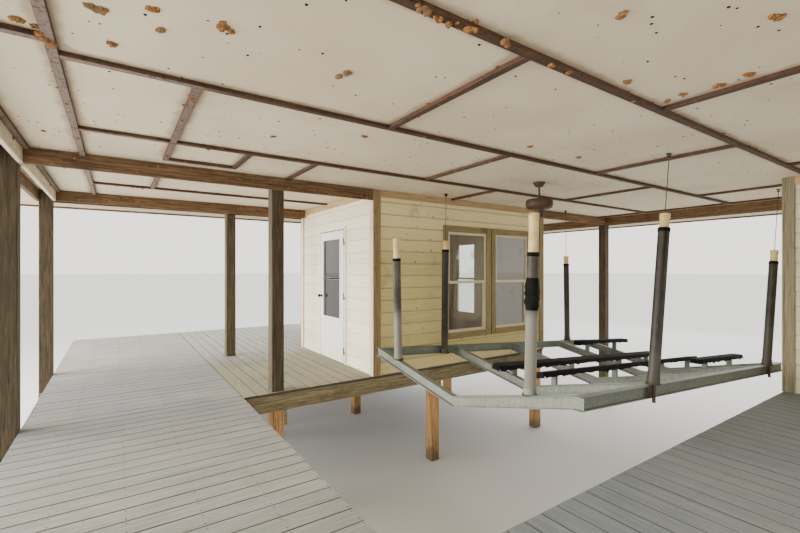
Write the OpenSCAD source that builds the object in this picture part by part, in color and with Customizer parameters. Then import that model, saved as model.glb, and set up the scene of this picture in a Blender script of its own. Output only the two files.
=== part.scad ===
// Covered boathouse on timber piles, with a cabin, a slip and a cradle boat lift.
// Millimetres, +Z up. X runs along the slip to the lake, Y across it to the cabin side.

/* [Timber grid] */
// Side of a square pile or post
post_size = 140; // [120:5:180]
// Bay between the closed-end posts and the first posts of the slip
closed_bay = 2277; // [2100:10:2500]
// Bay along the slip
slip_bay = 2277; // [2200:10:2340]
// Last bay, at the lake end
lake_bay = 2155; // [2000:5:2300]
// Bay under the side deck
side_bay = 2345; // [2100:10:2600]
// Slip width between the two rows of posts
slip_span = 3371; // [3360:5:3600]
// Bay under the landing and the cabin
landing_bay = 2348; // [2300:10:2500]
// Bay of the open deck behind the roof
open_bay = 1586; // [1200:10:1900]
// Bays of the open deck
open_bays = 2; // [1:1:3]

/* [Deck] */
// Top of the decks above still water
deck_top = 1360; // [1250:10:1500]
// Thickness of the deck boards
board_t = 28; // [22:1:38]
// Thickness of framing timber
frame_t = 38; // [32:1:50]
// Depth of joists, rims and cross beams
joist_h = 184; // [140:1:235]
// Spacing of the joists
joist_pitch = 406; // [300:1:610]
// Width of the walkway at the closed end
walkway_w = 1821; // [1700:5:1900]

/* [Roof] */
// Ceiling above the deck
ceiling_h = 2414; // [2350:2:2600]
// Thickness of the ceiling sheets
sheet_t = 12; // [9:1:18]
// Depth of the beams
beam_h = 140; // [120:1:184]
// Eave from the outer post rows to the outside of the fascia
eave_out = 520; // [400:10:700]
// Thickness of fascia, soffit battens and flat trim
trim_t = 19; // [12:1:25]
// Height of the fascia
fascia_h = 190; // [160:1:235]
// How far the fascia hangs below the beams
fascia_drop = 25; // [0:1:60]
// How far the roof stands out past the fascia
roof_drip = 25; // [10:1:60]
// Upright thickness of the roof
roof_t = 45; // [30:1:80]
// Rise of the roof for each unit of run
roof_pitch = 0.25; // [0.18:0.01:0.4]
// Width of the ceiling battens
batten_w = 45; // [38:1:64]
// Thickness of the ceiling battens
batten_t = 25; // [19:1:32]
// Spacing of the long battens
sheet_w = 1250; // [1225:5:1260]
// Distance of the first batten that runs through, from the closed-end posts
through_x = 510; // [450:5:600]
// Distance of the last batten from the beam at the lake end
end_batten_in = 266; // [150:2:400]

/* [Cabin] */
// Wall thickness
wall_t = 110; // [90:1:140]
// Distance from the walkway edge to the door wall
landing_w = 1628; // [1500:2:1800]
// Outside length of the cabin along the slip
cabin_l = 3384; // [3300:4:3600]
// How far the rim stands out past the cabin wall
wall_inset = 8; // [2:1:20]
// Distance of the last piles under the cabin from its lake face
pile_inset = 72; // [70:1:110]
// Width of corner boards, friezes and window trim
trim_w = 89; // [64:1:120]
// Gap between the trims of the two slip windows
window_gap = 22; // [10:1:60]
// Clear width of a slip window
window_w = 778; // [600:2:820]
// Clear height of a window
window_h = 1482; // [1200:2:1600]
// Sill of the windows above the deck
window_sill = 451; // [300:2:600]
// Distance from the second slip window to the cabin corner at the lake
window_end = 388; // [300:4:500]
// Clear width of the lake window
lake_window_w = 593; // [400:2:800]
// Distance from the slip face to the lake window
lake_window_start = 1572; // [1300:4:1600]
// Width of sash frames
sash_w = 38; // [28:1:55]
// Depth of sash frames
sash_t = 35; // [25:1:45]
// Thickness of glass
glass_t = 5; // [3:1:8]

/* [Door] */
// Width of the doorway
door_w = 939; // [860:1:1000]
// Height of the doorway
door_h = 2009; // [1950:1:2100]
// Distance from the slip face of the cabin to the doorway
door_start = 792; // [700:2:900]
// Width of the door frame on each side
jamb_w = 38; // [25:1:50]
// Thickness of the door leaf
leaf_t = 40; // [32:1:50]
// Running gap round the door leaf
leaf_gap = 6; // [5:1:8]
// Height of the plain lower panel of the leaf
leaf_panel_h = 640; // [500:5:800]
// Width of the leaf's stiles and top rail
leaf_stile_w = 130; // [100:1:160]
// Radius of the door knob
knob_r = 27; // [20:1:32]
// Height of the door knob above the deck
knob_h = 964; // [900:2:1050]
// Radius of a hinge barrel
barrel_r = 8; // [7:0.5:10]
// Radius of a hinge pin
pin_r = 3; // [2:0.5:4]
// Height of a hinge
hinge_h = 100; // [80:2:120]
// Clearance in the hinges
hinge_gap = 0.3; // [0.2:0.1:0.4]

/* [Store room] */
// Distance from the cabin's door wall to the store room's end wall
storeroom_start = 3516; // [3480:4:3600]
// How far the store room stays back from the slip edge
storeroom_inset = 10; // [2:1:30]

/* [Lift] */
// Distance from the edge of the side deck to the middle of the near side beam
lift_near_gap = 242; // [200:1:300]
// Distance from the cabin's side of the slip to the middle of the other side beam
lift_cabin_gap = 173; // [150:1:240]
// Distance from the door wall to the first cross member
lift_start = -19; // [-60:1:60]
// Height of the side beams over the deck at the first cross member
lift_h = 436; // [420:2:500]
// Fall of the lift towards the lake, in degrees
lift_fall = 3.9; // [2:0.1:4.2]
// Roll of the lift towards the cabin, in degrees
lift_roll = 1.6; // [0:0.1:2.4]
// Drop of the cross members to their middle
vee_drop = 284; // [200:1:300]
// How far the lowest point of the cross members lies off the middle, away from the cabin
vee_shift = 50; // [0:2:80]
// Spacing of the first four cross members
vee_pitch = 1200; // [1150:5:1220]
// Spacing of the last two cross members
end_pitch = 800; // [700:10:860]
// Depth of the lift's beams
lift_beam_h = 102; // [90:1:120]
// Flange width of the lift's beams
flange_w = 70; // [60:1:80]
// Flange thickness of the lift's beams
flange_t = 7; // [5:1:9]
// Web thickness of the lift's beams
web_t = 6; // [4:1:8]
// Width of a bunk
bunk_w = 140; // [120:1:160]
// Thickness of a bunk
bunk_t = 48; // [40:1:60]
// Distance of the long bunks' front ends from the first cross member
long_bunk_start = 930; // [860:5:1000]
// Length of a long bunk
long_bunk_l = 3680; // [3560:5:3800]
// Distance of the short bunks' front ends from the first cross member
short_bunk_start = 3310; // [3250:5:3400]
// Length of a short bunk
short_bunk_l = 1430; // [1300:5:1500]
// Width of the brackets below the bunks
bracket_w = 62; // [50:1:76]
// How far the tops of the long bunks lie below the side beams' tops
bunk_drop = 82; // [60:2:100]
// How much higher the short bunks lie
bunk_step = 129; // [90:1:140]
// Tilt of the long bunks to the middle, in degrees
bunk_tilt = 10; // [0:0.5:12]
// Outer diameter of a guide sleeve
sleeve_d = 92; // [85:1:100]
// Outer diameter of a guide pipe
pipe_d = 76; // [66:1:80]
// Wall of the guide pipes
pipe_wall = 5; // [4:1:7]
// Height of a guide pipe, on average
guide_h = 1450; // [1350:5:1500]
// Diameter of a lift cable
cable_d = 8; // [6:1:12]

/* [Ceiling fan] */
// Distance of the fan from the cabin's door wall
fan_along = 1405; // [1300:5:1500]
// Distance of the fan from the cabin side post row
fan_in = 1571; // [1500:5:1650]
// Diameter of the fan motor
fan_d = 304; // [260:2:360]
// Height of the fan motor
fan_h = 117; // [90:1:140]
// Height of the switch housing below the motor
fan_switch_h = 98; // [70:1:120]
// How far the fan hangs below the ceiling
fan_drop = 420; // [380:2:460]

/* [Hidden] */
$fn = 48;

half_post = post_size / 2;

// Columns of the grid along X, and rows along Y, before the part is centred
cols = [0, closed_bay, closed_bay + slip_bay, closed_bay + 2 * slip_bay, closed_bay + 2 * slip_bay + lake_bay];
rows = [0, side_bay, side_bay + slip_span, side_bay + slip_span + landing_bay];
open_rows = [for (i = [1 : open_bays]) rows[3] + i * open_bay];
last_col = cols[4];
slip_row = rows[2];

// Edges of the decks
deck_x0 = half_post;
deck_x1 = last_col + half_post;
deck_y0 = half_post;
deck_y1 = open_rows[open_bays - 1] + half_post;
walkway_x1 = deck_x0 + walkway_w;
slip_y0 = rows[1] + half_post + frame_t;
slip_y1 = slip_row - half_post - frame_t;

// Heights
joist_top = deck_top - board_t;
joist_bottom = joist_top - joist_h;
pile_beam_bottom = joist_bottom - joist_h;
ceiling_z = deck_top + ceiling_h;
beam_bottom = ceiling_z - beam_h;
fascia_bottom = beam_bottom - fascia_drop;
fascia_top = fascia_bottom + fascia_h;

// Cabin, outside faces
cabin_x0 = walkway_x1 + landing_w;
cabin_x1 = cabin_x0 + cabin_l;
cabin_y0 = slip_y1 + wall_inset;
cabin_y1 = rows[3] + half_post + frame_t - trim_t;

// Columns of piles under the landing and the cabin
landing_cols = [cols[1], cols[2], cabin_x1 - pile_inset];

// Store room, outside faces
storeroom_x0 = cabin_x0 + storeroom_start;
storeroom_y1 = slip_y0 - storeroom_inset;

// Roof
eave_x0 = -eave_out;
eave_x1 = last_col + eave_out;
eave_y0 = -eave_out;
eave_y1 = rows[3] + eave_out;

// The origin is under the middle of the whole box, at still water
roof_edge_y0 = eave_y0 - roof_drip;
origin_x = (eave_x0 + eave_x1) / 2;
origin_y = (roof_edge_y0 + deck_y1) / 2;

module placed() {
  translate([-origin_x, -origin_y, 0]) children();
}

// A box between two corners
module box(lo, hi) {
  translate(lo) cube(hi - lo);
}

// A ring of four boards lying between two rectangles
module ring(x0, y0, x1, y1, w, z0, z1) {
  difference() {
    box([x0, y0, z0], [x1, y1, z1]);
    box([x0 + w, y0 + w, z0 - 1], [x1 - w, y1 - w, z1 + 1]);
  }
}

module timber(col_x, row_y, z0, z1) {
  box([col_x - half_post, row_y - half_post, z0], [col_x + half_post, row_y + half_post, z1]);
}

// Under the decks

module piles() color("peru") placed() {
  for (x = [cols[1], cols[2], cols[3]])
    timber(x, rows[1], 0, joist_bottom);
  for (x = landing_cols, y = concat([rows[2], rows[3]], open_rows))
    timber(x, y, 0, joist_bottom);
  for (y = open_rows)
    timber(deck_x0 + half_post + frame_t, y, 0, joist_bottom);
  for (y = concat(rows, open_rows))
    timber(walkway_x1 - half_post - frame_t, y, 0, joist_bottom);
  timber(last_col, rows[1], 0, joist_bottom);
}

// A beam along X on one side of the piles of a walkway row
module walkway_row_beam(row_y, side, x0) {
  y0 = row_y + side * half_post + (side < 0 ? -frame_t : 0);
  box([x0, y0, pile_beam_bottom], [walkway_x1, y0 + frame_t, joist_bottom]);
}

// A beam along Y on one side of a column of piles
module column_beam(col_x, side, y0, y1) {
  x0 = col_x + side * half_post + (side < 0 ? -frame_t : 0);
  box([x0, y0, pile_beam_bottom], [x0 + frame_t, y1, joist_bottom]);
}

module cross_beams() color("saddlebrown") placed() {
  walkway_row_beam(rows[0], 1, -half_post);
  for (row = [1 : 3], side = [-1, 1])
    walkway_row_beam(rows[row], side, -half_post);
  for (y = open_rows)
    walkway_row_beam(y, -1, deck_x0);
  for (col = [1 : 3])
    let (side = col == 3 ? -1 : 1) {
      column_beam(landing_cols[col - 1], side, slip_y1 + frame_t, deck_y1);
      column_beam(cols[col], side, -half_post, rows[1] + half_post);
    }
  column_beam(last_col, -1, -half_post, rows[1] + half_post);
}

// Number of equal steps of about one joist pitch in a span
function steps(span) = ceil(span / joist_pitch);

module walkway_joists() color("burlywood") placed() {
  span = walkway_w - frame_t;
  for (i = [0 : steps(span)])
    let (x = deck_x0 + i * span / steps(span))
      box([x, deck_y0 + frame_t, joist_bottom], [x + frame_t, deck_y1 - frame_t, joist_top]);
}

// Joists along X between two rims that face each other across Y
module joists_between(y0, y1, x1) {
  span = y1 - y0;
  for (i = [1 : steps(span) - 1])
    let (y = y0 + i * span / steps(span))
      box([walkway_x1, y, joist_bottom], [x1 - frame_t, y + frame_t, joist_top]);
}

module slip_joists() color("burlywood") placed() {
  joists_between(slip_y1, deck_y1 - frame_t, cabin_x1);
  joists_between(deck_y0, slip_y0 - frame_t, deck_x1);
}

module rim_boards() color("tan") placed() {
  box([walkway_x1, slip_y1, joist_bottom], [cabin_x1, slip_y1 + frame_t, joist_top]);
  box([cabin_x1 - frame_t, slip_y1 + frame_t, joist_bottom], [cabin_x1, deck_y1 - frame_t, joist_top]);
  box([deck_x0, deck_y1 - frame_t, joist_bottom], [cabin_x1, deck_y1, joist_top]);
  box([walkway_x1, slip_y0 - frame_t, joist_bottom], [deck_x1, slip_y0, joist_top]);
  box([deck_x1 - frame_t, deck_y0 + frame_t, joist_bottom], [deck_x1, slip_y0 - frame_t, joist_top]);
  box([deck_x0, deck_y0, joist_bottom], [deck_x1, deck_y0 + frame_t, joist_top]);
}

// Posts that stand in the water outside the deck edge, and posts on the decks

module water_posts() color("sienna") placed() {
  for (y = rows)
    timber(0, y, 0, ceiling_z);
  for (x = [cols[1], cols[2], cols[3], last_col])
    timber(x, rows[0], 0, ceiling_z);
  for (y = [rows[2], rows[3]])
    timber(last_col, y, 0, ceiling_z);
}

module landing_posts() color("sienna") placed() {
  for (y = [rows[2], rows[3]])
    timber(cols[1], y, deck_top, ceiling_z);
}

// Decks

module walkway_deck() color("gray") placed()
  box([deck_x0, deck_y0, joist_top], [walkway_x1, deck_y1, deck_top]);

module landing_deck() color("darkgray") placed() {
  difference() {
    box([walkway_x1, slip_y1, joist_top], [cabin_x1, deck_y1, deck_top]);
    box([cabin_x0, slip_y1 - 1, joist_top - 1], [cabin_x1 + 1, cabin_y1, deck_top + 1]);
  }
}

module side_deck() color("darkgray") placed()
  box([walkway_x1, deck_y0, joist_top], [deck_x1, slip_y0, deck_top]);

module cabin_floor() color("wheat") placed()
  box([cabin_x0, slip_y1, joist_top], [cabin_x1, cabin_y1, deck_top]);

// Cabin

win_z0 = deck_top + window_sill;
win_z1 = win_z0 + window_h;
win_a1 = cabin_x1 - window_end - window_w;
win_a0 = win_a1 - window_w - 2 * trim_w - window_gap;
lake_win_y0 = cabin_y0 + lake_window_start;
rear_win_x0 = (cabin_x0 + cabin_x1 - window_w) / 2;
door_y0 = cabin_y0 + door_start;
door_y1 = door_y0 + door_w;
door_z1 = deck_top + door_h;

module cabin_front_wall() color("khaki") placed() {
  difference() {
    box([cabin_x0, cabin_y0, deck_top], [cabin_x1, cabin_y0 + wall_t, ceiling_z]);
    for (x = [win_a0, win_a1])
      box([x, cabin_y0 - 1, win_z0], [x + window_w, cabin_y0 + wall_t + 1, win_z1]);
  }
}

module cabin_rear_wall() color("khaki") placed() {
  difference() {
    box([cabin_x0, cabin_y1 - wall_t, deck_top], [cabin_x1, cabin_y1, ceiling_z]);
    box([rear_win_x0, cabin_y1 - wall_t - 1, win_z0], [rear_win_x0 + window_w, cabin_y1 + 1, win_z1]);
  }
}

module cabin_lake_wall() color("khaki") placed() {
  difference() {
    box([cabin_x1 - wall_t, cabin_y0 + wall_t, deck_top], [cabin_x1, cabin_y1 - wall_t, ceiling_z]);
    box([cabin_x1 - wall_t - 1, lake_win_y0, win_z0], [cabin_x1 + 1, lake_win_y0 + lake_window_w, win_z1]);
  }
}

// The wall on both sides of the doorway
module cabin_door_walls() color("ivory") placed() {
  box([cabin_x0, cabin_y0 + wall_t, deck_top], [cabin_x0 + wall_t, door_y0, ceiling_z]);
  box([cabin_x0, door_y1, deck_top], [cabin_x0 + wall_t, cabin_y1 - wall_t, ceiling_z]);
}

module cabin_door_header() color("ivory") placed()
  box([cabin_x0, door_y0, door_z1], [cabin_x0 + wall_t, door_y1, ceiling_z]);

// Two boards that meet at an outside corner; sx and sy point away from the wall
module corner_pair(x, y, sx, sy) {
  lo_x = sx < 0 ? x - trim_t : x - trim_w;
  hi_x = sx < 0 ? x + trim_w : x + trim_t;
  side_y = sy < 0 ? y - trim_t : y;
  box([lo_x, side_y, deck_top], [hi_x, side_y + trim_t, ceiling_z]);
  side_x = sx < 0 ? x - trim_t : x;
  lo_y = sy < 0 ? y : y - trim_w;
  box([side_x, lo_y, deck_top], [side_x + trim_t, lo_y + trim_w, ceiling_z]);
}

module corner_boards() color("tan") placed() {
  corner_pair(cabin_x0, cabin_y0, -1, -1);
  corner_pair(cabin_x0, cabin_y1, -1, 1);
  corner_pair(cabin_x1, cabin_y0, 1, -1);
  corner_pair(cabin_x1, cabin_y1, 1, 1);
  corner_pair(storeroom_x0, storeroom_y1, -1, 1);
  corner_pair(storeroom_x0, deck_y0, -1, -1);
}

module frieze_boards() color("tan") placed() {
  z0 = ceiling_z - trim_w;
  box([cabin_x0 + trim_w, cabin_y0 - trim_t, z0], [cabin_x1 - trim_w, cabin_y0, ceiling_z]);
  box([cabin_x0 + trim_w, cabin_y1, z0], [cabin_x1 - trim_w, cabin_y1 + trim_t, ceiling_z]);
  for (x = [cabin_x0 - trim_t, cabin_x1])
    box([x, cabin_y0 + trim_w, z0], [x + trim_t, cabin_y1 - trim_w, ceiling_z]);
  box([storeroom_x0 - trim_t, deck_y0 + trim_w, z0], [storeroom_x0, storeroom_y1 - trim_w, ceiling_z]);
}

// Trim round one window: a frame of flat boards, standing on the outside of its wall.
// It is drawn in the XZ plane, with its back on y = 0 and its face at y = -trim_t.
module trim_frame(w) {
  difference() {
    box([-trim_w, -trim_t, -trim_w], [w + trim_w, 0, window_h + trim_w]);
    box([0, -trim_t - 1, 0], [w, 1, window_h]);
  }
}

// One window unit in its opening: the frame and two sashes, the upper one outside
module sash_unit(w) {
  mid = window_h / 2;
  difference() {
    box([0, 0, 0], [w, 2 * sash_t, window_h]);
    box([sash_w, -1, mid + sash_w / 2], [w - sash_w, 2 * sash_t + 1, window_h - sash_w]);
    box([sash_w, -1, sash_w], [w - sash_w, 2 * sash_t + 1, mid - sash_w / 2]);
    box([sash_w / 2, -1, sash_w / 2], [w - sash_w / 2, sash_t, mid - sash_w / 2]);
    box([sash_w / 2, sash_t, mid + sash_w / 2], [w - sash_w / 2, 2 * sash_t + 1, window_h - sash_w / 2]);
  }
}

// The two panes of one window unit, set in the middle of their sashes
module panes(w) {
  mid = window_h / 2;
  y_up = (sash_t - glass_t) / 2;
  y_low = sash_t + y_up;
  box([sash_w, y_up, mid + sash_w / 2], [w - sash_w, y_up + glass_t, window_h - sash_w]);
  box([sash_w, y_low, sash_w], [w - sash_w, y_low + glass_t, mid - sash_w / 2]);
}

module in_front_windows() {
  for (x = [win_a0, win_a1])
    translate([x, cabin_y0, win_z0]) children();
}

module in_rear_window() {
  translate([rear_win_x0 + window_w, cabin_y1, win_z0]) rotate([0, 0, 180]) children();
}

module in_lake_window() {
  translate([cabin_x1, lake_win_y0, win_z0]) rotate([0, 0, 90]) children();
}

module window_trim() color("darkkhaki") placed() {
  in_front_windows() trim_frame(window_w);
  in_rear_window() trim_frame(window_w);
  in_lake_window() trim_frame(lake_window_w);
}

module window_sashes() color("cornsilk") placed() {
  in_front_windows() sash_unit(window_w);
  in_rear_window() sash_unit(window_w);
  in_lake_window() sash_unit(lake_window_w);
}

module window_glass() color("lightblue") placed() {
  in_front_windows() panes(window_w);
  in_rear_window() panes(window_w);
  in_lake_window() panes(lake_window_w);
}

module door_frame() color("white") placed() {
  difference() {
    box([cabin_x0 - trim_t, door_y0, deck_top], [cabin_x0 + wall_t, door_y1, door_z1]);
    box([cabin_x0 - trim_t - 1, door_y0 + jamb_w, deck_top - 1],
        [cabin_x0 + wall_t + 1, door_y1 - jamb_w, door_z1 - jamb_w]);
  }
}

// The leaf hangs outside in its frame, with its hinge line at the near jamb
leaf_y0 = door_y0 + jamb_w + leaf_gap;
leaf_y1 = door_y1 - jamb_w - leaf_gap;
leaf_z0 = deck_top + 2 * leaf_gap;
leaf_z1 = door_z1 - jamb_w - leaf_gap;
leaf_x0 = cabin_x0 - trim_t;
light_y0 = leaf_y0 + leaf_stile_w;
light_y1 = leaf_y1 - leaf_stile_w;
light_z0 = leaf_z0 + leaf_panel_h;
light_z1 = leaf_z1 - leaf_stile_w;
light_mid = (light_z0 + light_z1) / 2;
light_bar = sash_w / 2;

module door_leaf() color("whitesmoke") placed() {
  difference() {
    box([leaf_x0, leaf_y0, leaf_z0], [leaf_x0 + leaf_t, leaf_y1, leaf_z1]);
    box([leaf_x0 - 1, light_y0, light_mid + light_bar / 2], [leaf_x0 + leaf_t + 1, light_y1, light_z1]);
    box([leaf_x0 - 1, light_y0, light_z0], [leaf_x0 + leaf_t + 1, light_y1, light_mid - light_bar / 2]);
  }
}

module door_glass() color("silver") placed() {
  x0 = leaf_x0 + (leaf_t - glass_t) / 2;
  box([x0, light_y0, light_mid + light_bar / 2], [x0 + glass_t, light_y1, light_z1]);
  box([x0, light_y0, light_z0], [x0 + glass_t, light_y1, light_mid - light_bar / 2]);
}

// Three butt hinges. The barrel stands in front of the leaf's outer face, over the gap.
hinge_x = leaf_x0 - barrel_r;
hinge_y = leaf_y0 - leaf_gap / 2;
hinge_inset = 180;
hinge_zs = [leaf_z0 + hinge_inset, (leaf_z0 + leaf_z1) / 2, leaf_z1 - hinge_inset];
plate_t = 3;
plate_w = 32;
pin_short = 4;

// The halves on the frame: plate, lower half of the barrel, and the pin
module door_hinges() color("dimgray") placed() {
  for (z = hinge_zs) {
    translate([hinge_x, hinge_y, z - hinge_h / 2]) {
      cylinder(r = barrel_r, h = hinge_h / 2);
      cylinder(r = pin_r, h = hinge_h - pin_short);
      translate([barrel_r - plate_t, -plate_w, 0]) cube([plate_t, plate_w, hinge_h / 2]);
    }
  }
}

// The half of a hinge on the leaf: plate and upper half of the barrel, bored for the pin
module leaf_hinge() {
  difference() {
    union() {
      cylinder(r = barrel_r, h = hinge_h / 2);
      translate([barrel_r - plate_t, 0, 0]) cube([plate_t, plate_w, hinge_h / 2]);
    }
    translate([0, 0, -1]) cylinder(r = pin_r + hinge_gap, h = hinge_h / 2 - pin_short / 2 + 1);
  }
}

module knob() {
  neck_r = 11;
  rotate([0, -90, 0])
    rotate_extrude()
      polygon([[0, 0], [knob_r, 0], [knob_r, 6], [neck_r, 10], [neck_r, 26], [knob_r * 0.9, 34],
               [knob_r, 48], [knob_r * 0.8, 60], [0, 64]]);
}

module door_hardware() color("dimgray") placed() {
  for (z = hinge_zs)
    translate([hinge_x, hinge_y, z + hinge_gap]) leaf_hinge();
  translate([leaf_x0, leaf_y1 - leaf_stile_w / 2, deck_top + knob_h]) knob();
}

// Store room

module storeroom_end_walls() color("beige") placed() {
  box([storeroom_x0, deck_y0, deck_top], [storeroom_x0 + wall_t, storeroom_y1, ceiling_z]);
  box([deck_x1 - wall_t, deck_y0 + wall_t, deck_top], [deck_x1, storeroom_y1 - wall_t, ceiling_z]);
}

module storeroom_side_walls() color("beige") placed() {
  for (y = [deck_y0, storeroom_y1 - wall_t])
    box([storeroom_x0 + wall_t, y, deck_top], [deck_x1, y + wall_t, ceiling_z]);
}

// Beams

beam_in_x0 = half_post;
lake_beam_x = last_col - half_post - frame_t;

module row_beam(y0, x0, x1) {
  box([x0, y0, beam_bottom], [x1, y0 + frame_t, ceiling_z]);
}

module row_beams() color("saddlebrown") placed() {
  slip_face = slip_row - half_post - frame_t;
  rear_in = rows[3] - half_post - frame_t;
  rear_out_y = rows[3] + half_post;
  row_beam(slip_face, beam_in_x0 + frame_t, cabin_x0 - trim_t);
  row_beam(slip_face, cabin_x1 + trim_t, lake_beam_x);
  row_beam(rear_in, beam_in_x0 + frame_t, cabin_x0 - trim_t);
  row_beam(rear_in, cabin_x1 + trim_t, lake_beam_x);
  row_beam(rear_out_y, -half_post, cabin_x0 - trim_t);
  row_beam(rear_out_y, cabin_x1 + trim_t, deck_x1);
  row_beam(half_post, beam_in_x0 + frame_t, storeroom_x0 - trim_t);
  row_beam(-half_post - frame_t, -half_post, deck_x1);
}

module end_beam(x0, y0, y1) {
  box([x0, y0, beam_bottom], [x0 + frame_t, y1, ceiling_z]);
}

module end_beams() color("saddlebrown") placed() {
  outer_y0 = -half_post - frame_t;
  outer_y1 = rows[3] + half_post + frame_t;
  end_beam(beam_in_x0, half_post, rows[3] - half_post);
  end_beam(-half_post - frame_t, outer_y0, outer_y1);
  end_beam(lake_beam_x, storeroom_y1 + trim_t, rows[3] - half_post);
  end_beam(deck_x1, outer_y0, outer_y1);
}

// Ceiling and roof

module ceiling() color("linen") placed()
  box([-half_post - frame_t, -half_post - frame_t, ceiling_z],
      [deck_x1 + frame_t, rows[3] + half_post + frame_t, ceiling_z + sheet_t]);

// Long battens run along X, and short ones butt between them along Y. Two of the short ones
// run through, and the long ones stop on both sides of them. One lies along the closed end.
batten_z = ceiling_z - batten_t;
inner_x0 = beam_in_x0 + frame_t;
inner_y0 = half_post + frame_t;
slip_beam_y0 = slip_row - half_post - frame_t;
rear_beam_y0 = rows[3] - half_post - frame_t;
function sheets(n) = n * sheet_w;
first_long_out = 115;
left_row_out = 150;
long_rows = [for (i = [0 : 2]) rows[1] - first_long_out + sheets(i)];
hatch_row = long_rows[2] + sheets(0.5);
landing_long_row = rows[3] - sheets(0.814);
left_row = long_rows[1] - left_row_out;
hatch_x0 = through_x + sheets(0.5);
hatch_x1 = hatch_x0 + sheets(0.485);
end_batten_x = lake_beam_x - end_batten_in;

// The strips that short battens butt against, from the side deck to the rear beam
function strip(y) = [y - batten_w / 2, y + batten_w / 2];
strips = [
  [inner_y0, inner_y0], strip(long_rows[0]), strip(long_rows[1]), strip(long_rows[2]), strip(hatch_row),
  [slip_beam_y0, slip_beam_y0 + frame_t], strip(landing_long_row), [rear_beam_y0, rear_beam_y0],
  [storeroom_y1 + trim_t, storeroom_y1 + trim_t], [cabin_y0 - trim_t, cabin_y0 - trim_t]
];

// Short battens: place along X, strip where it starts, strip where it ends
shorts = [
  [sheets(2.921), 0, 1], [sheets(4.958), 0, 1], [sheets(1.916), 1, 2], [sheets(3.985), 1, 2],
  [sheets(5.962), 8, 2], [sheets(2.938), 2, 3], [sheets(5.002), 2, 3], [hatch_x1, 3, 4],
  [sheets(1.894), 3, 5], [sheets(3.862), 3, 9], [end_batten_x, 8, 5],
  [through_x, 0, 5], [through_x, 5, 7], [hatch_x0, 2, 4], [hatch_x0, 5, 6],
  [inner_x0 + batten_w / 2, 0, 5], [inner_x0 + batten_w / 2, 5, 7]
];

module long_batten(y, x0, x1) {
  box([x0, y - batten_w / 2, batten_z], [x1, y + batten_w / 2, ceiling_z]);
}

module short_batten(x, from, to) {
  box([x - batten_w / 2, strips[from][1], batten_z], [x + batten_w / 2, strips[to][0], ceiling_z]);
}

module ceiling_battens_long() color("sienna") placed() {
  half = batten_w / 2;
  long_x1 = end_batten_x - half;
  for (y = [long_rows[0], left_row])
    long_batten(y, inner_x0 + batten_w, through_x - half);
  long_batten(long_rows[0], through_x + half, storeroom_x0 - trim_t);
  long_batten(long_rows[1], through_x + half, long_x1);
  long_batten(long_rows[2], through_x + half, hatch_x0 - half);
  long_batten(long_rows[2], hatch_x0 + half, long_x1);
  long_batten(hatch_row, hatch_x0 - half, hatch_x1 + half);
  long_batten(landing_long_row, through_x + half, cabin_x0 - trim_t);
}

module ceiling_battens_short() color("sienna") placed() {
  for (s = shorts)
    short_batten(s[0], s[1], s[2]);
}

module eave_soffit() color("linen") placed()
  ring(eave_x0 + trim_t, eave_y0 + trim_t, eave_x1 - trim_t, eave_y1 - trim_t,
       eave_out - half_post - frame_t - trim_t, beam_bottom, beam_bottom + sheet_t);

module fascia() color("linen") placed()
  ring(eave_x0, eave_y0, eave_x1, eave_y1, trim_t, fascia_bottom, fascia_top);

// A hipped solid on a rectangle, with upright edges of height edge_h
module hipped(x0, y0, x1, y1, z0, edge_h) {
  run = (y1 - y0) / 2;
  z1 = z0 + edge_h;
  top = z1 + run * roof_pitch;
  polyhedron(
    [[x0, y0, z0], [x1, y0, z0], [x1, y1, z0], [x0, y1, z0],
     [x0, y0, z1], [x1, y0, z1], [x1, y1, z1], [x0, y1, z1],
     [x0 + run, y0 + run, top], [x1 - run, y0 + run, top]],
    [[0, 1, 2, 3], [0, 4, 5, 1], [1, 5, 6, 2], [2, 6, 7, 3], [3, 7, 4, 0],
     [4, 8, 9, 5], [5, 9, 6], [6, 9, 8, 7], [7, 8, 4]]);
}

module roof() color("rosybrown") placed() {
  inset = roof_drip + trim_t;
  edge = roof_drip;
  difference() {
    hipped(eave_x0 - edge, eave_y0 - edge, eave_x1 + edge, eave_y1 + edge, fascia_top, roof_t);
    hipped(eave_x0 - edge + inset, eave_y0 - edge + inset, eave_x1 + edge - inset,
           eave_y1 + edge - inset, fascia_top - 1, 1);
  }
}

// Ceiling fan without blades: canopy, rod, motor and switch housing
fan_x = cabin_x0 + fan_along;
fan_y = slip_row - fan_in;

module ceiling_fan() color("brown") placed() {
  canopy_r = 72;
  canopy_h = 60;
  rod_r = 12;
  switch_r = 55;
  motor_r = fan_d / 2;
  motor_low = fan_switch_h - fan_drop;
  motor_top = motor_low + fan_h;
  edge = 14;
  translate([fan_x, fan_y, ceiling_z])
    rotate_extrude()
      polygon([[0, 0], [canopy_r, 0], [canopy_r - 4, -edge], [canopy_r * 0.6, -canopy_h + 8], [rod_r, -canopy_h],
               [rod_r, motor_top + edge], [motor_r * 0.4, motor_top + 8], [motor_r - edge, motor_top],
               [motor_r, motor_top - edge], [motor_r, motor_low + 2 * edge], [motor_r - 2 * edge, motor_low + 8],
               [switch_r, motor_low], [switch_r - 3, -fan_drop + edge], [switch_r * 0.7, -fan_drop], [0, -fan_drop]]);
}

// Boat lift. It is drawn level, with its origin over the middle of the first cross member
// at the top of the side beams, and then set at its fall and roll.

half_w = (slip_y1 - slip_y0 - lift_near_gap - lift_cabin_gap) / 2;
lift_x = cabin_x0 + lift_start;
lift_y = slip_y1 - lift_cabin_gap - half_w;
lift_z = deck_top + lift_h;
vee_half = half_w - flange_w / 2;
vees = [0, vee_pitch, 2 * vee_pitch, 3 * vee_pitch, 3 * vee_pitch + end_pitch];
lift_l = vees[4] + flange_w / 2;

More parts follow.
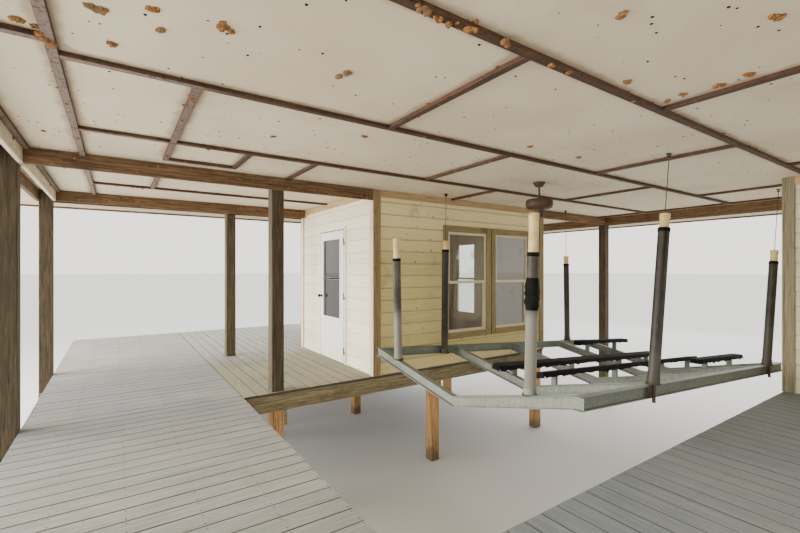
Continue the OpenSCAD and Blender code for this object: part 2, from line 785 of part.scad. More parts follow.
module lift_pose() {
  translate([lift_x, lift_y, lift_z]) rotate([-lift_roll, lift_fall, 0]) children();
}

// A beam profile in the XY plane: x across the flanges, y down from the top
module beam_profile() {
  translate([-flange_w / 2, -flange_t]) square([flange_w, flange_t]);
  translate([-web_t / 2, -lift_beam_h]) square([web_t, lift_beam_h]);
  translate([-flange_w / 2, -lift_beam_h]) square([flange_w, flange_t]);
}

module lift_side_beams() color("lightgray") placed() lift_pose() {
  for (y = [-half_w, half_w])
    translate([flange_w / 2, y, 0]) rotate([90, 0, 90])
      linear_extrude(lift_l - flange_w / 2) beam_profile();
}

// The top line of a cross member: a V between the side beams, level past them
function vee_line(half) = half > vee_half
  ? [[-half, 0], [-vee_half, 0], [-vee_shift, -vee_drop], [vee_half, 0], [half, 0]]
  : [[-half, 0], [-vee_shift, -vee_drop], [half, 0]];
function lowered(points, by) = [for (p = points) p - [0, by]];
function reversed(points) = [for (i = [len(points) - 1 : -1 : 0]) points[i]];

// A band of constant upright thickness that follows the line
module vee_band(half, from, thick) {
  polygon(concat(lowered(vee_line(half), from), lowered(reversed(vee_line(half)), from + thick)));
}

module vee_layer(x, w, half, from, thick) {
  translate([x - w / 2, 0, 0]) rotate([90, 0, 90]) linear_extrude(w) vee_band(half, from, thick);
}

module vee(x, half) {
  vee_layer(x, flange_w, half, 0, flange_t);
  vee_layer(x, web_t, half, flange_t, lift_beam_h - 2 * flange_t);
  vee_layer(x, flange_w, half, lift_beam_h - flange_t, flange_t);
}

module lift_cross_members() color("lightgray") placed() lift_pose() {
  vee(vees[0], half_w + flange_w / 2);
  for (i = [1 : 4])
    vee(vees[i], vee_half);
}

// Bunks. Each pair: start along the lift, distance from the middle as a share of the half width,
// length, height of the top, how much higher it is on the cabin side, tilt to the middle.
bunk_pairs = [
  [long_bunk_start, 0.217, long_bunk_l, -bunk_drop, -8, bunk_tilt],
  [short_bunk_start, 0.599, short_bunk_l, bunk_step - bunk_drop, 23, 0]
];
bunks = [for (p = bunk_pairs, side = [-1, 1])
           [p[0], side * p[1] * half_w, p[2], p[3] + side * p[4], side * p[5]]];

module bunk_place(b) {
  translate([b[0], b[1], b[3]]) rotate([b[4], 0, 0]) children();
}

module lift_bunks() color("black") placed() lift_pose() {
  for (b = bunks)
    bunk_place(b) box([0, -bunk_w / 2, -bunk_t], [b[2], bunk_w / 2, 0]);
}

// How far the blocks that trim the lift's small pieces reach past it
past = half_w / 2;

// Everything below the tops of the cross members
module below_vees() {
  half = half_w + past;
  translate([-past, 0, 0]) rotate([90, 0, 90]) linear_extrude(lift_l + 2 * past)
    polygon(concat(vee_line(half), [[half, -2 * past], [-half, -2 * past]]));
}

// An upright channel, open towards the lake
module channel(wide, deep, wall, h) {
  difference() {
    translate([-deep / 2, -wide / 2, 0]) cube([deep, wide, h]);
    translate([wall - deep / 2, wall - wide / 2, -1]) cube([deep, wide - 2 * wall, h + 2]);
  }
}

module bunk_brackets() color("gray") placed() lift_pose() {
  for (b = bunks)
    difference() {
      for (x = vees)
        if (x > b[0] && x < b[0] + b[2])
          translate([x, b[1], -past]) channel(bracket_w, bracket_w / 2, flange_t, 2 * past);
      below_vees();
      bunk_place(b) box([-past, -half_w, -bunk_t], [lift_l + past, half_w, 3 * past]);
    }
}

// Guides. Each row: cross member, distance past it as a share of the spacing, side (-1 near, 1 cabin),
// distance from the middle as a share of the half width, height as a share of the common height,
// share of it that the sleeve covers, lean to the lake in degrees, 1 if it stands low beside its beam.
guides = [
  [0, 0, 1, 0.696, 0.962, 0.832, -1.1, 0],
  [0, 0, -1, 0.682, 0.997, 0.779, 2, 0],
  [1, -0.182, 1, 1, 1.048, 0.918, 0.7, 1],
  [1, -0.116, -1, 1, 1.014, 0.912, 8.3, 0],
  [3, 0.238, -1, 1, 0.983, 0.898, 11.7, 0],
  [3, 0.22, 1, 1, 1.01, 0.908, -1.2, 0]
];
foot_t = 14;
foot_d = sleeve_d + 30;
collar_h = 52;
collar_wall = 5;
sleeve_play = 2;
beside = flange_w / 2 + sleeve_d / 2 + collar_wall + 2;
low_z = flange_t - lift_beam_h;
function along(g) = vees[g[0]] + g[1] * vee_pitch;
function out_of(g) = g[2] * (g[3] * half_w - g[7] * beside);
function pipe_h(g) = g[4] * guide_h;
function sleeve_h(g) = g[5] * pipe_h(g);
function lean(g) = g[6];

// The guides with a cable inside stand on the side beams
cabled = [guides[2], guides[3], guides[4], guides[5]];
hook_w = 60;
hook_t = 40;
strap_w = 56;
hanger_out = 92;
strap_h = 98;
stub_d = 28;
stub_h = 136;

// The foot of a guide, on the top of its beam, in the lift's own frame and in the part's
function vee_share(y) = (y + vee_shift) / (y > -vee_shift ? vee_half + vee_shift : vee_shift - vee_half);
function foot_z(g) = g[0] > 0 ? g[7] * low_z : -vee_drop * (1 - vee_share(out_of(g)));
function foot_local(g) = [along(g), out_of(g), foot_z(g)];
function rolled(p) = [p[0], p[1] * cos(lift_roll) + p[2] * sin(lift_roll),
                      -p[1] * sin(lift_roll) + p[2] * cos(lift_roll)];
function fallen(p) = [p[0] * cos(lift_fall) + p[2] * sin(lift_fall), p[1],
                      -p[0] * sin(lift_fall) + p[2] * cos(lift_fall)];
function foot_at(g) = [lift_x, lift_y, lift_z] + fallen(rolled(foot_local(g)));
hook_z = ceiling_z - hook_t;
function hook_at(g) = foot_at(g) + (hook_z - foot_at(g)[2]) * [tan(lean(g)), 0, 1];

module guide_frame(g) {
  translate(foot_at(g)) rotate([0, lean(g), 0]) children();
}

// Everything below a height of the side beams
module below(z) {
  translate([-past, -half_w - past, z - past]) cube([lift_l + 2 * past, 2 * (half_w + past), past]);
}

module guide_foot(g) {
  sunk = 2 * foot_t;
  difference() {
    guide_frame(g) translate([0, 0, -sunk]) cylinder(d = foot_d, h = sunk + foot_t);
    lift_pose()
      if (g[0] == 0)
        below_vees();
      else
        below(foot_z(g));
  }
}

// A strap and a round stub that hang from the foot over the outer face of the side beam
module foot_hanger(g) {
  lift_pose() translate(foot_local(g)) scale([1, g[2], 1]) translate([-hanger_out, flange_w / 2, 0]) {
    translate([-strap_w, 0, -strap_h]) cube([strap_w, flange_t, strap_h + foot_t / 2]);
    translate([0, stub_d / 2, -stub_h]) cylinder(d = stub_d, h = stub_h + foot_t / 3);
  }
}

module guide_feet() color("rosybrown") placed() {
  for (g = guides)
    guide_foot(g);
  for (g = cabled)
    if (g[7] == 0)
      foot_hanger(g);
}

// A pipe with a cap, open for its cable
module guide_pipe(g) {
  cap_h = 45;
  cap_wall = 4;
  difference() {
    union() {
      cylinder(d = pipe_d, h = pipe_h(g));
      translate([0, 0, pipe_h(g) - cap_h]) cylinder(d = pipe_d + 2 * cap_wall, h = cap_h);
    }
    translate([0, 0, -1]) cylinder(d = pipe_d - 2 * pipe_wall, h = pipe_h(g) - pipe_wall + 1);
    if (g[0] > 0)
      cylinder(d = 2 * cable_d, h = pipe_h(g) + 1);
  }
}

module guide_pipes() color("ivory") placed() {
  for (g = guides)
    guide_frame(g) translate([0, 0, foot_t]) guide_pipe(g);
}

module guide_sleeves() color("darkslategray") placed() {
  for (g = guides)
    guide_frame(g) translate([0, 0, foot_t])
      difference() {
        union() {
          cylinder(d = sleeve_d, h = sleeve_h(g));
          cylinder(d = sleeve_d + 2 * collar_wall, h = collar_h);
        }
        translate([0, 0, -1]) cylinder(d = pipe_d + 2 * sleeve_play, h = pipe_h(g));
      }
}

module lift_cables() color("dimgray") placed() {
  reach = 2 * ceiling_h;
  for (g = cabled)
    difference() {
      guide_frame(g) translate([0, 0, foot_t]) cylinder(d = cable_d, h = reach, $fn = 16);
      translate([hook_at(g)[0] - reach / 2, hook_at(g)[1] - hook_w, hook_z]) cube([reach, 2 * hook_w, reach]);
    }
}

module cable_hooks() color("black") placed() {
  for (g = cabled)
    translate([hook_at(g)[0] - hook_w / 2, hook_at(g)[1] - hook_w / 4, hook_z])
      cube([hook_w, hook_w / 2, hook_t]);
}

piles();
cross_beams();
walkway_joists();
slip_joists();
rim_boards();
water_posts();
landing_posts();
walkway_deck();
landing_deck();
side_deck();
cabin_floor();
cabin_front_wall();
cabin_door_walls();
cabin_door_header();
cabin_rear_wall();
cabin_lake_wall();
corner_boards();
frieze_boards();
window_trim();
window_sashes();
window_glass();
door_frame();
door_hinges();
door_leaf();
door_glass();
door_hardware();
storeroom_end_walls();
storeroom_side_walls();
row_beams();
end_beams();
ceiling();
ceiling_battens_long();
ceiling_battens_short();
eave_soffit();
fascia();
roof();
ceiling_fan();
cable_hooks();
lift_side_beams();
lift_cross_members();
lift_bunks();
bunk_brackets();
guide_pipes();
guide_sleeves();
guide_feet();
lift_cables();
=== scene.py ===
import math
import random

import bmesh
import bpy
from mathutils import Matrix, Vector, noise


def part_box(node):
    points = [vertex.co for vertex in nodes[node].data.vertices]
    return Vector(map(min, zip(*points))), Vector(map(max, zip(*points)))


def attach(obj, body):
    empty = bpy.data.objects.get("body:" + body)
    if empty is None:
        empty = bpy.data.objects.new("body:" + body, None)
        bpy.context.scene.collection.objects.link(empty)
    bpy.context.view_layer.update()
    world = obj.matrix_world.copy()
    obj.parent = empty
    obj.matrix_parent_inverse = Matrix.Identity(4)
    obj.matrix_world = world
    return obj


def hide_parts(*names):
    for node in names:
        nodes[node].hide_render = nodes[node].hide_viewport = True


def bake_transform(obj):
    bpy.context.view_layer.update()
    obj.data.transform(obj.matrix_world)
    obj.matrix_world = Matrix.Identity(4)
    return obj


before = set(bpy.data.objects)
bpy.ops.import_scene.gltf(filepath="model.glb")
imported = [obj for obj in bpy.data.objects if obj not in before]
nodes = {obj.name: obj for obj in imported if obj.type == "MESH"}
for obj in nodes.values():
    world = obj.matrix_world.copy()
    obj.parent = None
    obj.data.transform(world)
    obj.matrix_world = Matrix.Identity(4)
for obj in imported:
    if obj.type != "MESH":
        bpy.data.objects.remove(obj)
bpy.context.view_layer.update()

print("frame loaded:", len(nodes), "nodes")

# The photograph's view. The eye is a place in the part's own frame, in metres.
view = {
    "eye": (-3.7370, -4.4645, 2.740),
    "turn": -33.96,
    "focalPixels": 421.6,
    "imageWidth": 800,
    "imageHeight": 533,
    "horizonBelowMiddle": 3.0,
    "sensor": 36.0,
}


def makeCamera():
    data = bpy.data.cameras.new("photoCamera")
    data.sensor_width = view["sensor"]
    data.lens = view["focalPixels"] / view["imageWidth"] * view["sensor"]
    data.shift_y = view["horizonBelowMiddle"] / view["imageWidth"]
    data.clip_start = 0.02
    data.clip_end = 500.0
    camera = bpy.data.objects.new("photoCamera", data)
    camera.location = view["eye"]
    camera.rotation_euler = (math.radians(90), 0, math.radians(view["turn"]))
    bpy.context.scene.collection.objects.link(camera)
    bpy.context.scene.camera = camera


makeCamera()


# Small helpers for node trees, used by the shaders and by the geometry trees alike

def join(tree, socket, value):
    if isinstance(value, bpy.types.NodeSocket):
        tree.links.new(value, socket)
    elif value is not None:
        socket.default_value = value


def addNode(tree, kind, inputs=None, **settings):
    node = tree.nodes.new(kind)
    for key, value in settings.items():
        setattr(node, key, value)
    for key, value in (inputs or {}).items():
        join(tree, node.inputs[key], value)
    return node


def mathOf(tree, operation, a, b=0.5):
    return addNode(tree, "ShaderNodeMath", {0: a, 1: b}, operation=operation).outputs[0]


def plus(tree, a, b):
    return mathOf(tree, "ADD", a, b)


def minus(tree, a, b):
    return mathOf(tree, "SUBTRACT", a, b)


def times(tree, a, b):
    return mathOf(tree, "MULTIPLY", a, b)


def scaled(tree, vector, by):
    return addNode(tree, "ShaderNodeVectorMath", {0: vector, 1: by}, operation="MULTIPLY").outputs[0]


def moved(tree, vector, by):
    return addNode(tree, "ShaderNodeVectorMath", {0: vector, 1: by}, operation="ADD").outputs[0]


def partsOf(tree, vector):
    return addNode(tree, "ShaderNodeSeparateXYZ", {0: vector}).outputs


def noiseOf(tree, vector, scale, detail=4.0, roughness=0.55, distortion=0.0):
    return addNode(tree, "ShaderNodeTexNoise", {"Vector": vector, "Scale": scale, "Detail": detail,
                                                "Roughness": roughness, "Distortion": distortion}).outputs[0]


def rangeOf(tree, value, fromLow, fromHigh, toLow=0.0, toHigh=1.0):
    return addNode(tree, "ShaderNodeMapRange", {0: value, 1: fromLow, 2: fromHigh, 3: toLow, 4: toHigh},
                   interpolation_type="SMOOTHSTEP").outputs[0]


def mixOf(tree, factor, a, b, blend="MIX"):
    node = addNode(tree, "ShaderNodeMix", {0: factor, 6: a, 7: b}, data_type="RGBA", blend_type=blend)
    return node.outputs[2]


def mixFloat(tree, factor, a, b):
    return addNode(tree, "ShaderNodeMix", {0: factor, 2: a, 3: b}, data_type="FLOAT").outputs[0]


def coat(tree, color, mask, share, over):
    return mixOf(tree, times(tree, mask, share), color, over)


# A colour made darker or lighter by a tone that runs from 0 to 1
def toned(tree, color, tone, least, spread):
    shade = plus(tree, least, times(tree, tone, spread))
    gray = addNode(tree, "ShaderNodeCombineColor", {0: shade, 1: shade, 2: shade}).outputs[0]
    return mixOf(tree, 1.0, color, gray, "MULTIPLY")


def rampOf(tree, value, stops):
    node = addNode(tree, "ShaderNodeValToRGB", {0: value})
    band = node.color_ramp
    while len(band.elements) < len(stops):
        band.elements.new(0.5)
    for element, (place, color) in zip(band.elements, stops):
        element.position = place
        element.color = color
    return node.outputs[0]


def paint(red, green, blue):
    def linear(channel):
        share = channel / 255
        return share / 12.92 if share <= 0.04045 else ((share + 0.055) / 1.055) ** 2.4
    return (linear(red), linear(green), linear(blue), 1.0)


# Shader groups for what several finishes share

def makeGroup(name, inputs, outputs, kind="ShaderNodeTree"):
    group = bpy.data.node_groups.new(name, kind)
    for way, sockets in (("INPUT", inputs), ("OUTPUT", outputs)):
        for label, socketKind in sockets.items():
            group.interface.new_socket(label, in_out=way, socket_type="NodeSocket" + socketKind)
    return group, group.nodes.new("NodeGroupInput").outputs, group.nodes.new("NodeGroupOutput").inputs


def giveOut(group, out, values):
    for label, value in values.items():
        join(group, out[label], value)
    return group


def makeTimberFigure():
    group, given, out = makeGroup(
        "timberFigure", {"Vector": "Vector", "Stretch": "Vector", "Fineness": "Float"},
        {"Grain": "Float", "Crack": "Float", "Patch": "Float", "Knot": "Float", "Height": "Float"})
    run = scaled(group, given["Vector"], given["Stretch"])
    kinds = ((70.0, 6.0, 0.62, 0.5), (240.0, 3.0, 0.6), (24.0, 2.0, 0.5, 0.3))
    grain, thread, line = (noiseOf(group, run, times(group, given["Fineness"], scale), *rest)
                           for scale, *rest in kinds)
    thin = rangeOf(group, mathOf(group, "ABSOLUTE", minus(group, line, 0.5)), 0.0, 0.018, 1.0, 0.0)
    gate = rangeOf(group, noiseOf(group, moved(group, run, (3.1, 7.7, 1.3)), 9.0, 2.0), 0.5, 0.62)
    crack = times(group, thin, gate)
    patch = noiseOf(group, given["Vector"], 1.7, 4.0, 0.6)
    cells = addNode(group, "ShaderNodeTexVoronoi", {"Vector": given["Vector"], "Scale": 3.4})
    knot = rangeOf(group, cells.outputs["Distance"], 0.03, 0.085, 1.0, 0.0)
    rough = plus(group, times(group, grain, 0.7), times(group, thread, 0.3))
    height = minus(group, rough, times(group, crack, 0.8))
    return giveOut(group, out, {"Grain": rough, "Crack": crack, "Patch": patch, "Knot": knot,
                                "Height": height})


def makeWeather():
    group, given, out = makeGroup("weather", {"Vector": "Vector", "Size": "Float", "Amount": "Float"},
                                  {"Stain": "Float", "Speck": "Float", "Run": "Float"})
    size = given["Size"]
    cloud = noiseOf(group, given["Vector"], mathOf(group, "DIVIDE", 2.6, size), 6.0, 0.62, 0.3)
    low = minus(group, 0.72, times(group, given["Amount"], 0.34))
    stain = rangeOf(group, cloud, low, plus(group, low, 0.2))
    dots = noiseOf(group, given["Vector"], mathOf(group, "DIVIDE", 90.0, size), 2.0, 0.6)
    speck = rangeOf(group, dots, 0.66, 0.72)
    fall = noiseOf(group, scaled(group, given["Vector"], (1.0, 1.0, 0.07)),
                   mathOf(group, "DIVIDE", 22.0, size), 5.0, 0.6, 0.2)
    least = minus(group, 0.7, times(group, given["Amount"], 0.25))
    runs = rangeOf(group, fall, least, 0.78)
    return giveOut(group, out, {"Stain": stain, "Speck": speck, "Run": runs})


def makeWaterMark():
    group, given, out = makeGroup("waterMark", {"Vector": "Vector", "Level": "Float"},
                                  {"Wet": "Float", "Green": "Float"})
    height = partsOf(group, given["Vector"])[2]
    wave = noiseOf(group, scaled(group, given["Vector"], (1.0, 1.0, 0.4)), 9.0, 4.0, 0.6)
    edge = plus(group, height, times(group, minus(group, wave, 0.5), 0.5))
    level = given["Level"]
    wet = rangeOf(group, edge, times(group, level, 0.45), level, 1.0, 0.0)
    green = rangeOf(group, edge, level, times(group, level, 4.6), 1.0, 0.0)
    return giveOut(group, out, {"Wet": wet, "Green": green})


def makeRowTone():
    group, given, out = makeGroup(
        "rowTone", {"Place": "Float", "Start": "Float", "Pitch": "Float", "Seed": "Float"},
        {"Tone": "Float", "Share": "Float"})
    count = mathOf(group, "DIVIDE", minus(group, given["Place"], given["Start"]), given["Pitch"])
    row = mathOf(group, "FLOOR", count)
    tone = addNode(group, "ShaderNodeTexWhiteNoise", {"W": plus(group, row, given["Seed"])},
                   noise_dimensions="1D").outputs[0]
    return giveOut(group, out, {"Tone": tone, "Share": mathOf(group, "FRACT", count)})


def makeRustCover():
    group, given, out = makeGroup("rustCover", {"Vector": "Vector", "Amount": "Float"},
                                  {"Rust": "Float", "Color": "Color", "Height": "Float"})
    cloud = noiseOf(group, given["Vector"], 7.0, 9.0, 0.68, 0.3)
    low = minus(group, 0.75, times(group, given["Amount"], 0.5))
    rust = rangeOf(group, cloud, low, plus(group, low, 0.12))
    grit = noiseOf(group, given["Vector"], 120.0, 5.0, 0.7)
    color = rampOf(group, grit, [(0.25, paint(46, 24, 14)), (0.55, paint(98, 55, 30)),
                                 (0.8, paint(140, 84, 46))])
    return giveOut(group, out, {"Rust": rust, "Color": color, "Height": grit})


timberFigure = makeTimberFigure()
weather = makeWeather()
waterMark = makeWaterMark()
rowTone = makeRowTone()
rustCover = makeRustCover()
print("shader groups made")


def useGroup(tree, group, inputs):
    node = tree.nodes.new("ShaderNodeGroup")
    node.node_tree = group
    for key, value in inputs.items():
        join(tree, node.inputs[key], value)
    return node.outputs


def weathered(tree, vector, size, amount):
    return useGroup(tree, weather, {"Vector": vector, "Size": size, "Amount": amount})


def rusted(tree, vector, amount):
    return useGroup(tree, rustCover, {"Vector": vector, "Amount": amount})


def startMaterial(name, roughness=0.7, **fixed):
    material = bpy.data.materials.new(name)
    material.use_nodes = True
    tree = material.node_tree
    shader = tree.nodes["Principled BSDF"]
    shader.inputs["Roughness"].default_value = roughness
    for key, value in fixed.items():
        shader.inputs[key].default_value = value
    place = addNode(tree, "ShaderNodeTexCoord").outputs["Object"]
    return material, tree, shader, place


def toneAttribute(tree):
    return addNode(tree, "ShaderNodeAttribute", attribute_name="tone").outputs["Fac"]


# The height of the shading normal: 1 on a face that looks up, -1 on one that looks down
def facingUp(tree, normal="Normal"):
    return partsOf(tree, addNode(tree, "ShaderNodeNewGeometry").outputs[normal])[2]


def finish(tree, shader, color, height, strength, distance):
    bump = addNode(tree, "ShaderNodeBump", {"Height": height, "Strength": strength, "Distance": distance})
    join(tree, shader.inputs["Base Color"], color)
    join(tree, shader.inputs["Normal"], bump.outputs[0])


alongX, alongY, alongZ = (0.045, 1.0, 1.0), (1.0, 0.045, 1.0), (1.0, 1.0, 0.045)

# Raw and painted timber. Colours are (dark, middle, light).
rawTimber = {"fineness": 0.9, "stainAmount": 0.55, "crack": 0.7, "knot": 0.6, "bump": 0.4, "toneSpread": 0.25}
trimTimber = {"fineness": 1.1, "stainAmount": 0.4, "crack": 0.35, "knot": 0.4, "bump": 0.2, "toneSpread": 0.1}
timberLooks = {
    "postTimber": {**rawTimber, "colors": (paint(34, 29, 19), paint(74, 62, 41), paint(108, 94, 65)),
                   "stain": paint(58, 52, 32), "fineness": 1.0, "crack": 0.9, "bump": 0.5, "toneSpread": 0.12,
                   "green": 0.65, "wet": 0.7, "level": 0.3},
    # The piles' colours are their own orange-brown raised by a painted reflection of light off the water
    "pileTimber": {**rawTimber, "colors": (paint(96, 66, 38), paint(190, 142, 88), paint(226, 184, 128)),
                   "stain": paint(112, 96, 58), "stainAmount": 0.5, "crack": 0.9, "knot": 0.4, "bump": 0.6,
                   "green": 0.35, "wet": 0.65, "level": 0.2},
    "beamTimber": {**rawTimber, "colors": (paint(54, 39, 25), paint(111, 83, 54), paint(154, 124, 86)),
                   "stain": paint(62, 46, 30), "knot": 0.7, "bump": 0.35},
    "framingTimber": {**rawTimber, "colors": (paint(70, 61, 42), paint(140, 125, 92), paint(184, 170, 134)),
                      "stain": paint(78, 74, 48), "toneSpread": 0.3, "green": 0.4, "wet": 0.3, "level": 0.4},
    "battenTimber": {**rawTimber, "colors": (paint(44, 28, 18), paint(80, 53, 35), paint(108, 78, 56)),
                     "stain": paint(58, 42, 30), "fineness": 1.3, "stainAmount": 0.5, "crack": 0.4,
                     # The undersides' colour is a painted shade, paled near the open side to a painted sheen
                     # of sky light
                     "knot": 0.5, "bump": 0.3, "toneSpread": 0.3, "under": paint(70, 48, 34),
                     "openSideSheen": paint(158, 140, 126), "sheenSpan": (-3.5, -3.1), "fleck": 0.75},
    "oliveTrim": {**trimTimber, "colors": (paint(104, 92, 58), paint(150, 134, 90), paint(174, 158, 114)),
                  "stain": paint(84, 70, 38), "stainAmount": 0.45, "crack": 0.4, "bump": 0.22,
                  "toneSpread": 0.2},
    "cornerTrim": {**trimTimber, "colors": (paint(110, 90, 60), paint(150, 127, 89), paint(174, 150, 112)),
                   "stain": paint(90, 70, 40)},
    "storeTrim": {**trimTimber, "colors": (paint(96, 88, 66), paint(130, 121, 94), paint(156, 147, 118)),
                  "stain": paint(82, 72, 48)},
    "friezeTrim": {**trimTimber, "colors": (paint(140, 112, 74), paint(186, 156, 110), paint(206, 180, 138)),
                   "stain": paint(116, 88, 54), "crack": 0.3, "knot": 0.35},
    "creamTrim": {**trimTimber, "colors": (paint(190, 170, 138), paint(232, 214, 182), paint(242, 228, 202)),
                  "stain": paint(166, 142, 104), "stainAmount": 0.35, "crack": 0.25, "knot": 0.25},
    "eavePaint": {**trimTimber, "colors": (paint(178, 160, 132), paint(214, 200, 172), paint(228, 216, 192)),
                  "stain": paint(150, 126, 94), "fineness": 1.0, "stainAmount": 0.45, "crack": 0.3,
                  "knot": 0.25, "toneSpread": 0.15},
}
# How far the figure moves in a board whose tone is 1, so that no two boards look alike
toneShift = (7.0, 11.0, 5.0)
pieceMaterials = {}


def timberMaterial(name, run):
    key = (name, run)
    if key in pieceMaterials:
        return pieceMaterials[key]
    look = timberLooks[name]
    dark, middle, light = look["colors"]
    material, tree, shader, place = startMaterial(name + "XYZ"[run.index(0.045)], 0.78)
    tone = toneAttribute(tree)
    apart = addNode(tree, "ShaderNodeCombineXYZ", {k: times(tree, tone, toneShift[k]) for k in range(3)})
    shifted = moved(tree, place, apart.outputs[0])
    figure = useGroup(tree, timberFigure, {"Vector": shifted, "Stretch": run, "Fineness": look["fineness"]})
    color = rampOf(tree, figure["Grain"], [(0.36, dark), (0.5, middle), (0.66, light)])
    color = mixOf(tree, rangeOf(tree, figure["Patch"], 0.35, 0.7, 0.0, 0.35), color, middle)
    color = toned(tree, color, tone, 1.0 - look["toneSpread"] / 2, look["toneSpread"])
    aged = weathered(tree, place, 1.0, look["stainAmount"])
    color = coat(tree, color, aged["Stain"], 0.6, look["stain"])
    color = coat(tree, color, aged["Run"], 0.3, look["stain"])
    color = coat(tree, color, figure["Knot"], look["knot"], dark)
    color = coat(tree, color, figure["Crack"], look["crack"], paint(30, 22, 16))
    # Faces that look down get a painted shade, paled near the open side to a painted sheen of sky light
    if "under" in look:
        below = rangeOf(tree, facingUp(tree), -0.95, -0.75, 0.6, 0.0)
        openSide = rangeOf(tree, partsOf(tree, place)[0], *look["sheenSpan"], 1.0, 0.0)
        color = mixOf(tree, below, color, mixOf(tree, openSide, look["under"], look["openSideSheen"]))
        fleck = rangeOf(tree, noiseOf(tree, place, 42.0, 5.0, 0.75), 0.53, 0.6, 0.0, look["fleck"])
        color = mixOf(tree, fleck, color, dark)
    if "wet" in look:
        mark = useGroup(tree, waterMark, {"Vector": place, "Level": look["level"]})
        color = coat(tree, color, mark["Green"], look["green"], paint(84, 84, 42))
        color = coat(tree, color, mark["Wet"], look["wet"], paint(44, 34, 22))
        join(tree, shader.inputs["Roughness"], mixFloat(tree, mark["Wet"], 0.8, 0.35))
    finish(tree, shader, color, figure["Height"], look["bump"], 0.006)
    pieceMaterials[key] = material
    return material


def timberSet(name):
    return [timberMaterial(name, run) for run in (alongX, alongY, alongZ)]


# Meshes built from boards, prisms and rings, each with its own random tone

def linkObject(name, mesh):
    thing = bpy.data.objects.new(name, mesh)
    bpy.context.scene.collection.objects.link(thing)
    return thing


class Solids:
    def __init__(self, seed=1):
        self.points, self.faces, self.tones, self.slots, self.smooth = [], [], [], [], []
        self.chance = random.Random(seed)

    def add(self, points, faces, slot=0, tone=None, smooth=False):
        start = len(self.points)
        tone = self.chance.random() if tone is None else tone
        self.points += [tuple(point) for point in points]
        self.tones += [tone] * len(points)
        for face in faces:
            self.faces.append([start + k for k in face])
            self.slots.append(slot)
            self.smooth.append(smooth)

    def board(self, low, high, chamfer=0.003, slot=None, tone=None, turn=None):
        size = [high[k] - low[k] for k in range(3)]
        if slot is None:
            slot = size.index(max(size))
        cut = min(chamfer, min(size) * 0.3)
        points = []
        for corner in range(8):
            for axis in range(3):
                point = []
                for k in range(3):
                    upper = corner >> k & 1
                    inset = 0.0 if k == axis else cut
                    point.append(high[k] - inset if upper else low[k] + inset)
                points.append(point)
        faces, ring = [], [(0, 0), (1, 0), (1, 1), (0, 1)]
        for axis in range(3):
            b, c = (axis + 1) % 3, (axis + 2) % 3
            for upper in (0, 1):
                face = [((upper << axis) | (p << b) | (q << c)) * 3 + axis for p, q in ring]
                faces.append(face if upper else face[::-1])
            for p, q in ring:
                one = (p << b) | (q << c)
                two = one | 1 << axis
                face = [one * 3 + b, two * 3 + b, two * 3 + c, one * 3 + c]
                faces.append(face if p == q else face[::-1])
        for corner in range(8):
            face = [corner * 3, corner * 3 + 1, corner * 3 + 2]
            faces.append(face if bin(corner).count("1") % 2 else face[::-1])
        if turn is not None:
            points = [turn @ Vector(p) for p in points]
        self.add(points, faces, slot, tone)

    def prism(self, outline, place, start, end, slot=0, tone=None, smooth=False):
        # outline is a ring of 2D points; place(p, q, s) gives the 3D point at distance s along
        count = len(outline)
        points = [place(p, q, s) for s in (start, end) for p, q in outline]
        faces = [[k, (k + 1) % count, count + (k + 1) % count, count + k] for k in range(count)]
        faces += [list(range(count))[::-1], list(range(count, 2 * count))]
        self.add(points, faces, slot, tone, smooth)

    def lathe(self, outline, centre, axis=(0, 0, 1), sides=24, slot=0, tone=None, smooth=True):
        # outline runs from one pole to the other as (radius, height)
        turn = Vector((0, 0, 1)).rotation_difference(Vector(axis)).to_matrix()
        points, rings = [], []
        for radius, height in outline:
            if radius < 1e-6:
                rings.append([len(points)])
                points.append(Vector(centre) + turn @ Vector((0, 0, height)))
            else:
                rings.append(list(range(len(points), len(points) + sides)))
                for k in range(sides):
                    angle = 2 * math.pi * k / sides
                    points.append(Vector(centre) + turn @ Vector((radius * math.cos(angle),
                                                                   radius * math.sin(angle), height)))
        faces = []
        for one, two in zip(rings, rings[1:]):
            for k in range(sides):
                a, b = one[k % len(one)], one[(k + 1) % len(one)]
                c, d = two[(k + 1) % len(two)], two[k % len(two)]
                face = [a, b, c, d]
                faces.append([v for i, v in enumerate(face) if v not in face[:i]])
        self.add(points, faces, slot, tone, smooth)

    def mesh(self, name):
        mesh = bpy.data.meshes.new(name)
        mesh.from_pydata(self.points, [], self.faces)
        mesh.attributes.new("tone", "FLOAT", "POINT").data.foreach_set("value", self.tones)
        mesh.polygons.foreach_set("material_index", self.slots)
        mesh.polygons.foreach_set("use_smooth", self.smooth)
        return mesh

    def piece(self, name, materials, slotName, body="root", replaces=(), outward=True):
        thing = linkObject(name, self.mesh(name))
        for material in materials:
            thing.data.materials.append(material)
        if outward:
            faceOut(thing)
        if any(self.smooth):
            thing.data.set_sharp_from_angle(angle=math.radians(38))
        return settle(thing, body, replaces)


def faceOut(thing):
    shape = bmesh.new()
    shape.from_mesh(thing.data)
    bmesh.ops.recalc_face_normals(shape, faces=shape.faces)
    shape.to_mesh(thing.data)
    shape.free()


def settle(thing, body, replaces=()):
    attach(thing, body)
    if replaces:
        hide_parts(*replaces)
    return thing


def mergedCopy(nodeName):
    shape = bmesh.new()
    shape.from_mesh(nodes[nodeName].data)
    bmesh.ops.remove_doubles(shape, verts=shape.verts, dist=1e-5)
    return shape


def meshFrom(shape, name):
    mesh = bpy.data.meshes.new(name)
    shape.to_mesh(mesh)
    shape.free()
    return mesh


def joinFlats(shape):
    bmesh.ops.dissolve_limit(shape, angle_limit=math.radians(0.5), verts=shape.verts, edges=shape.edges)


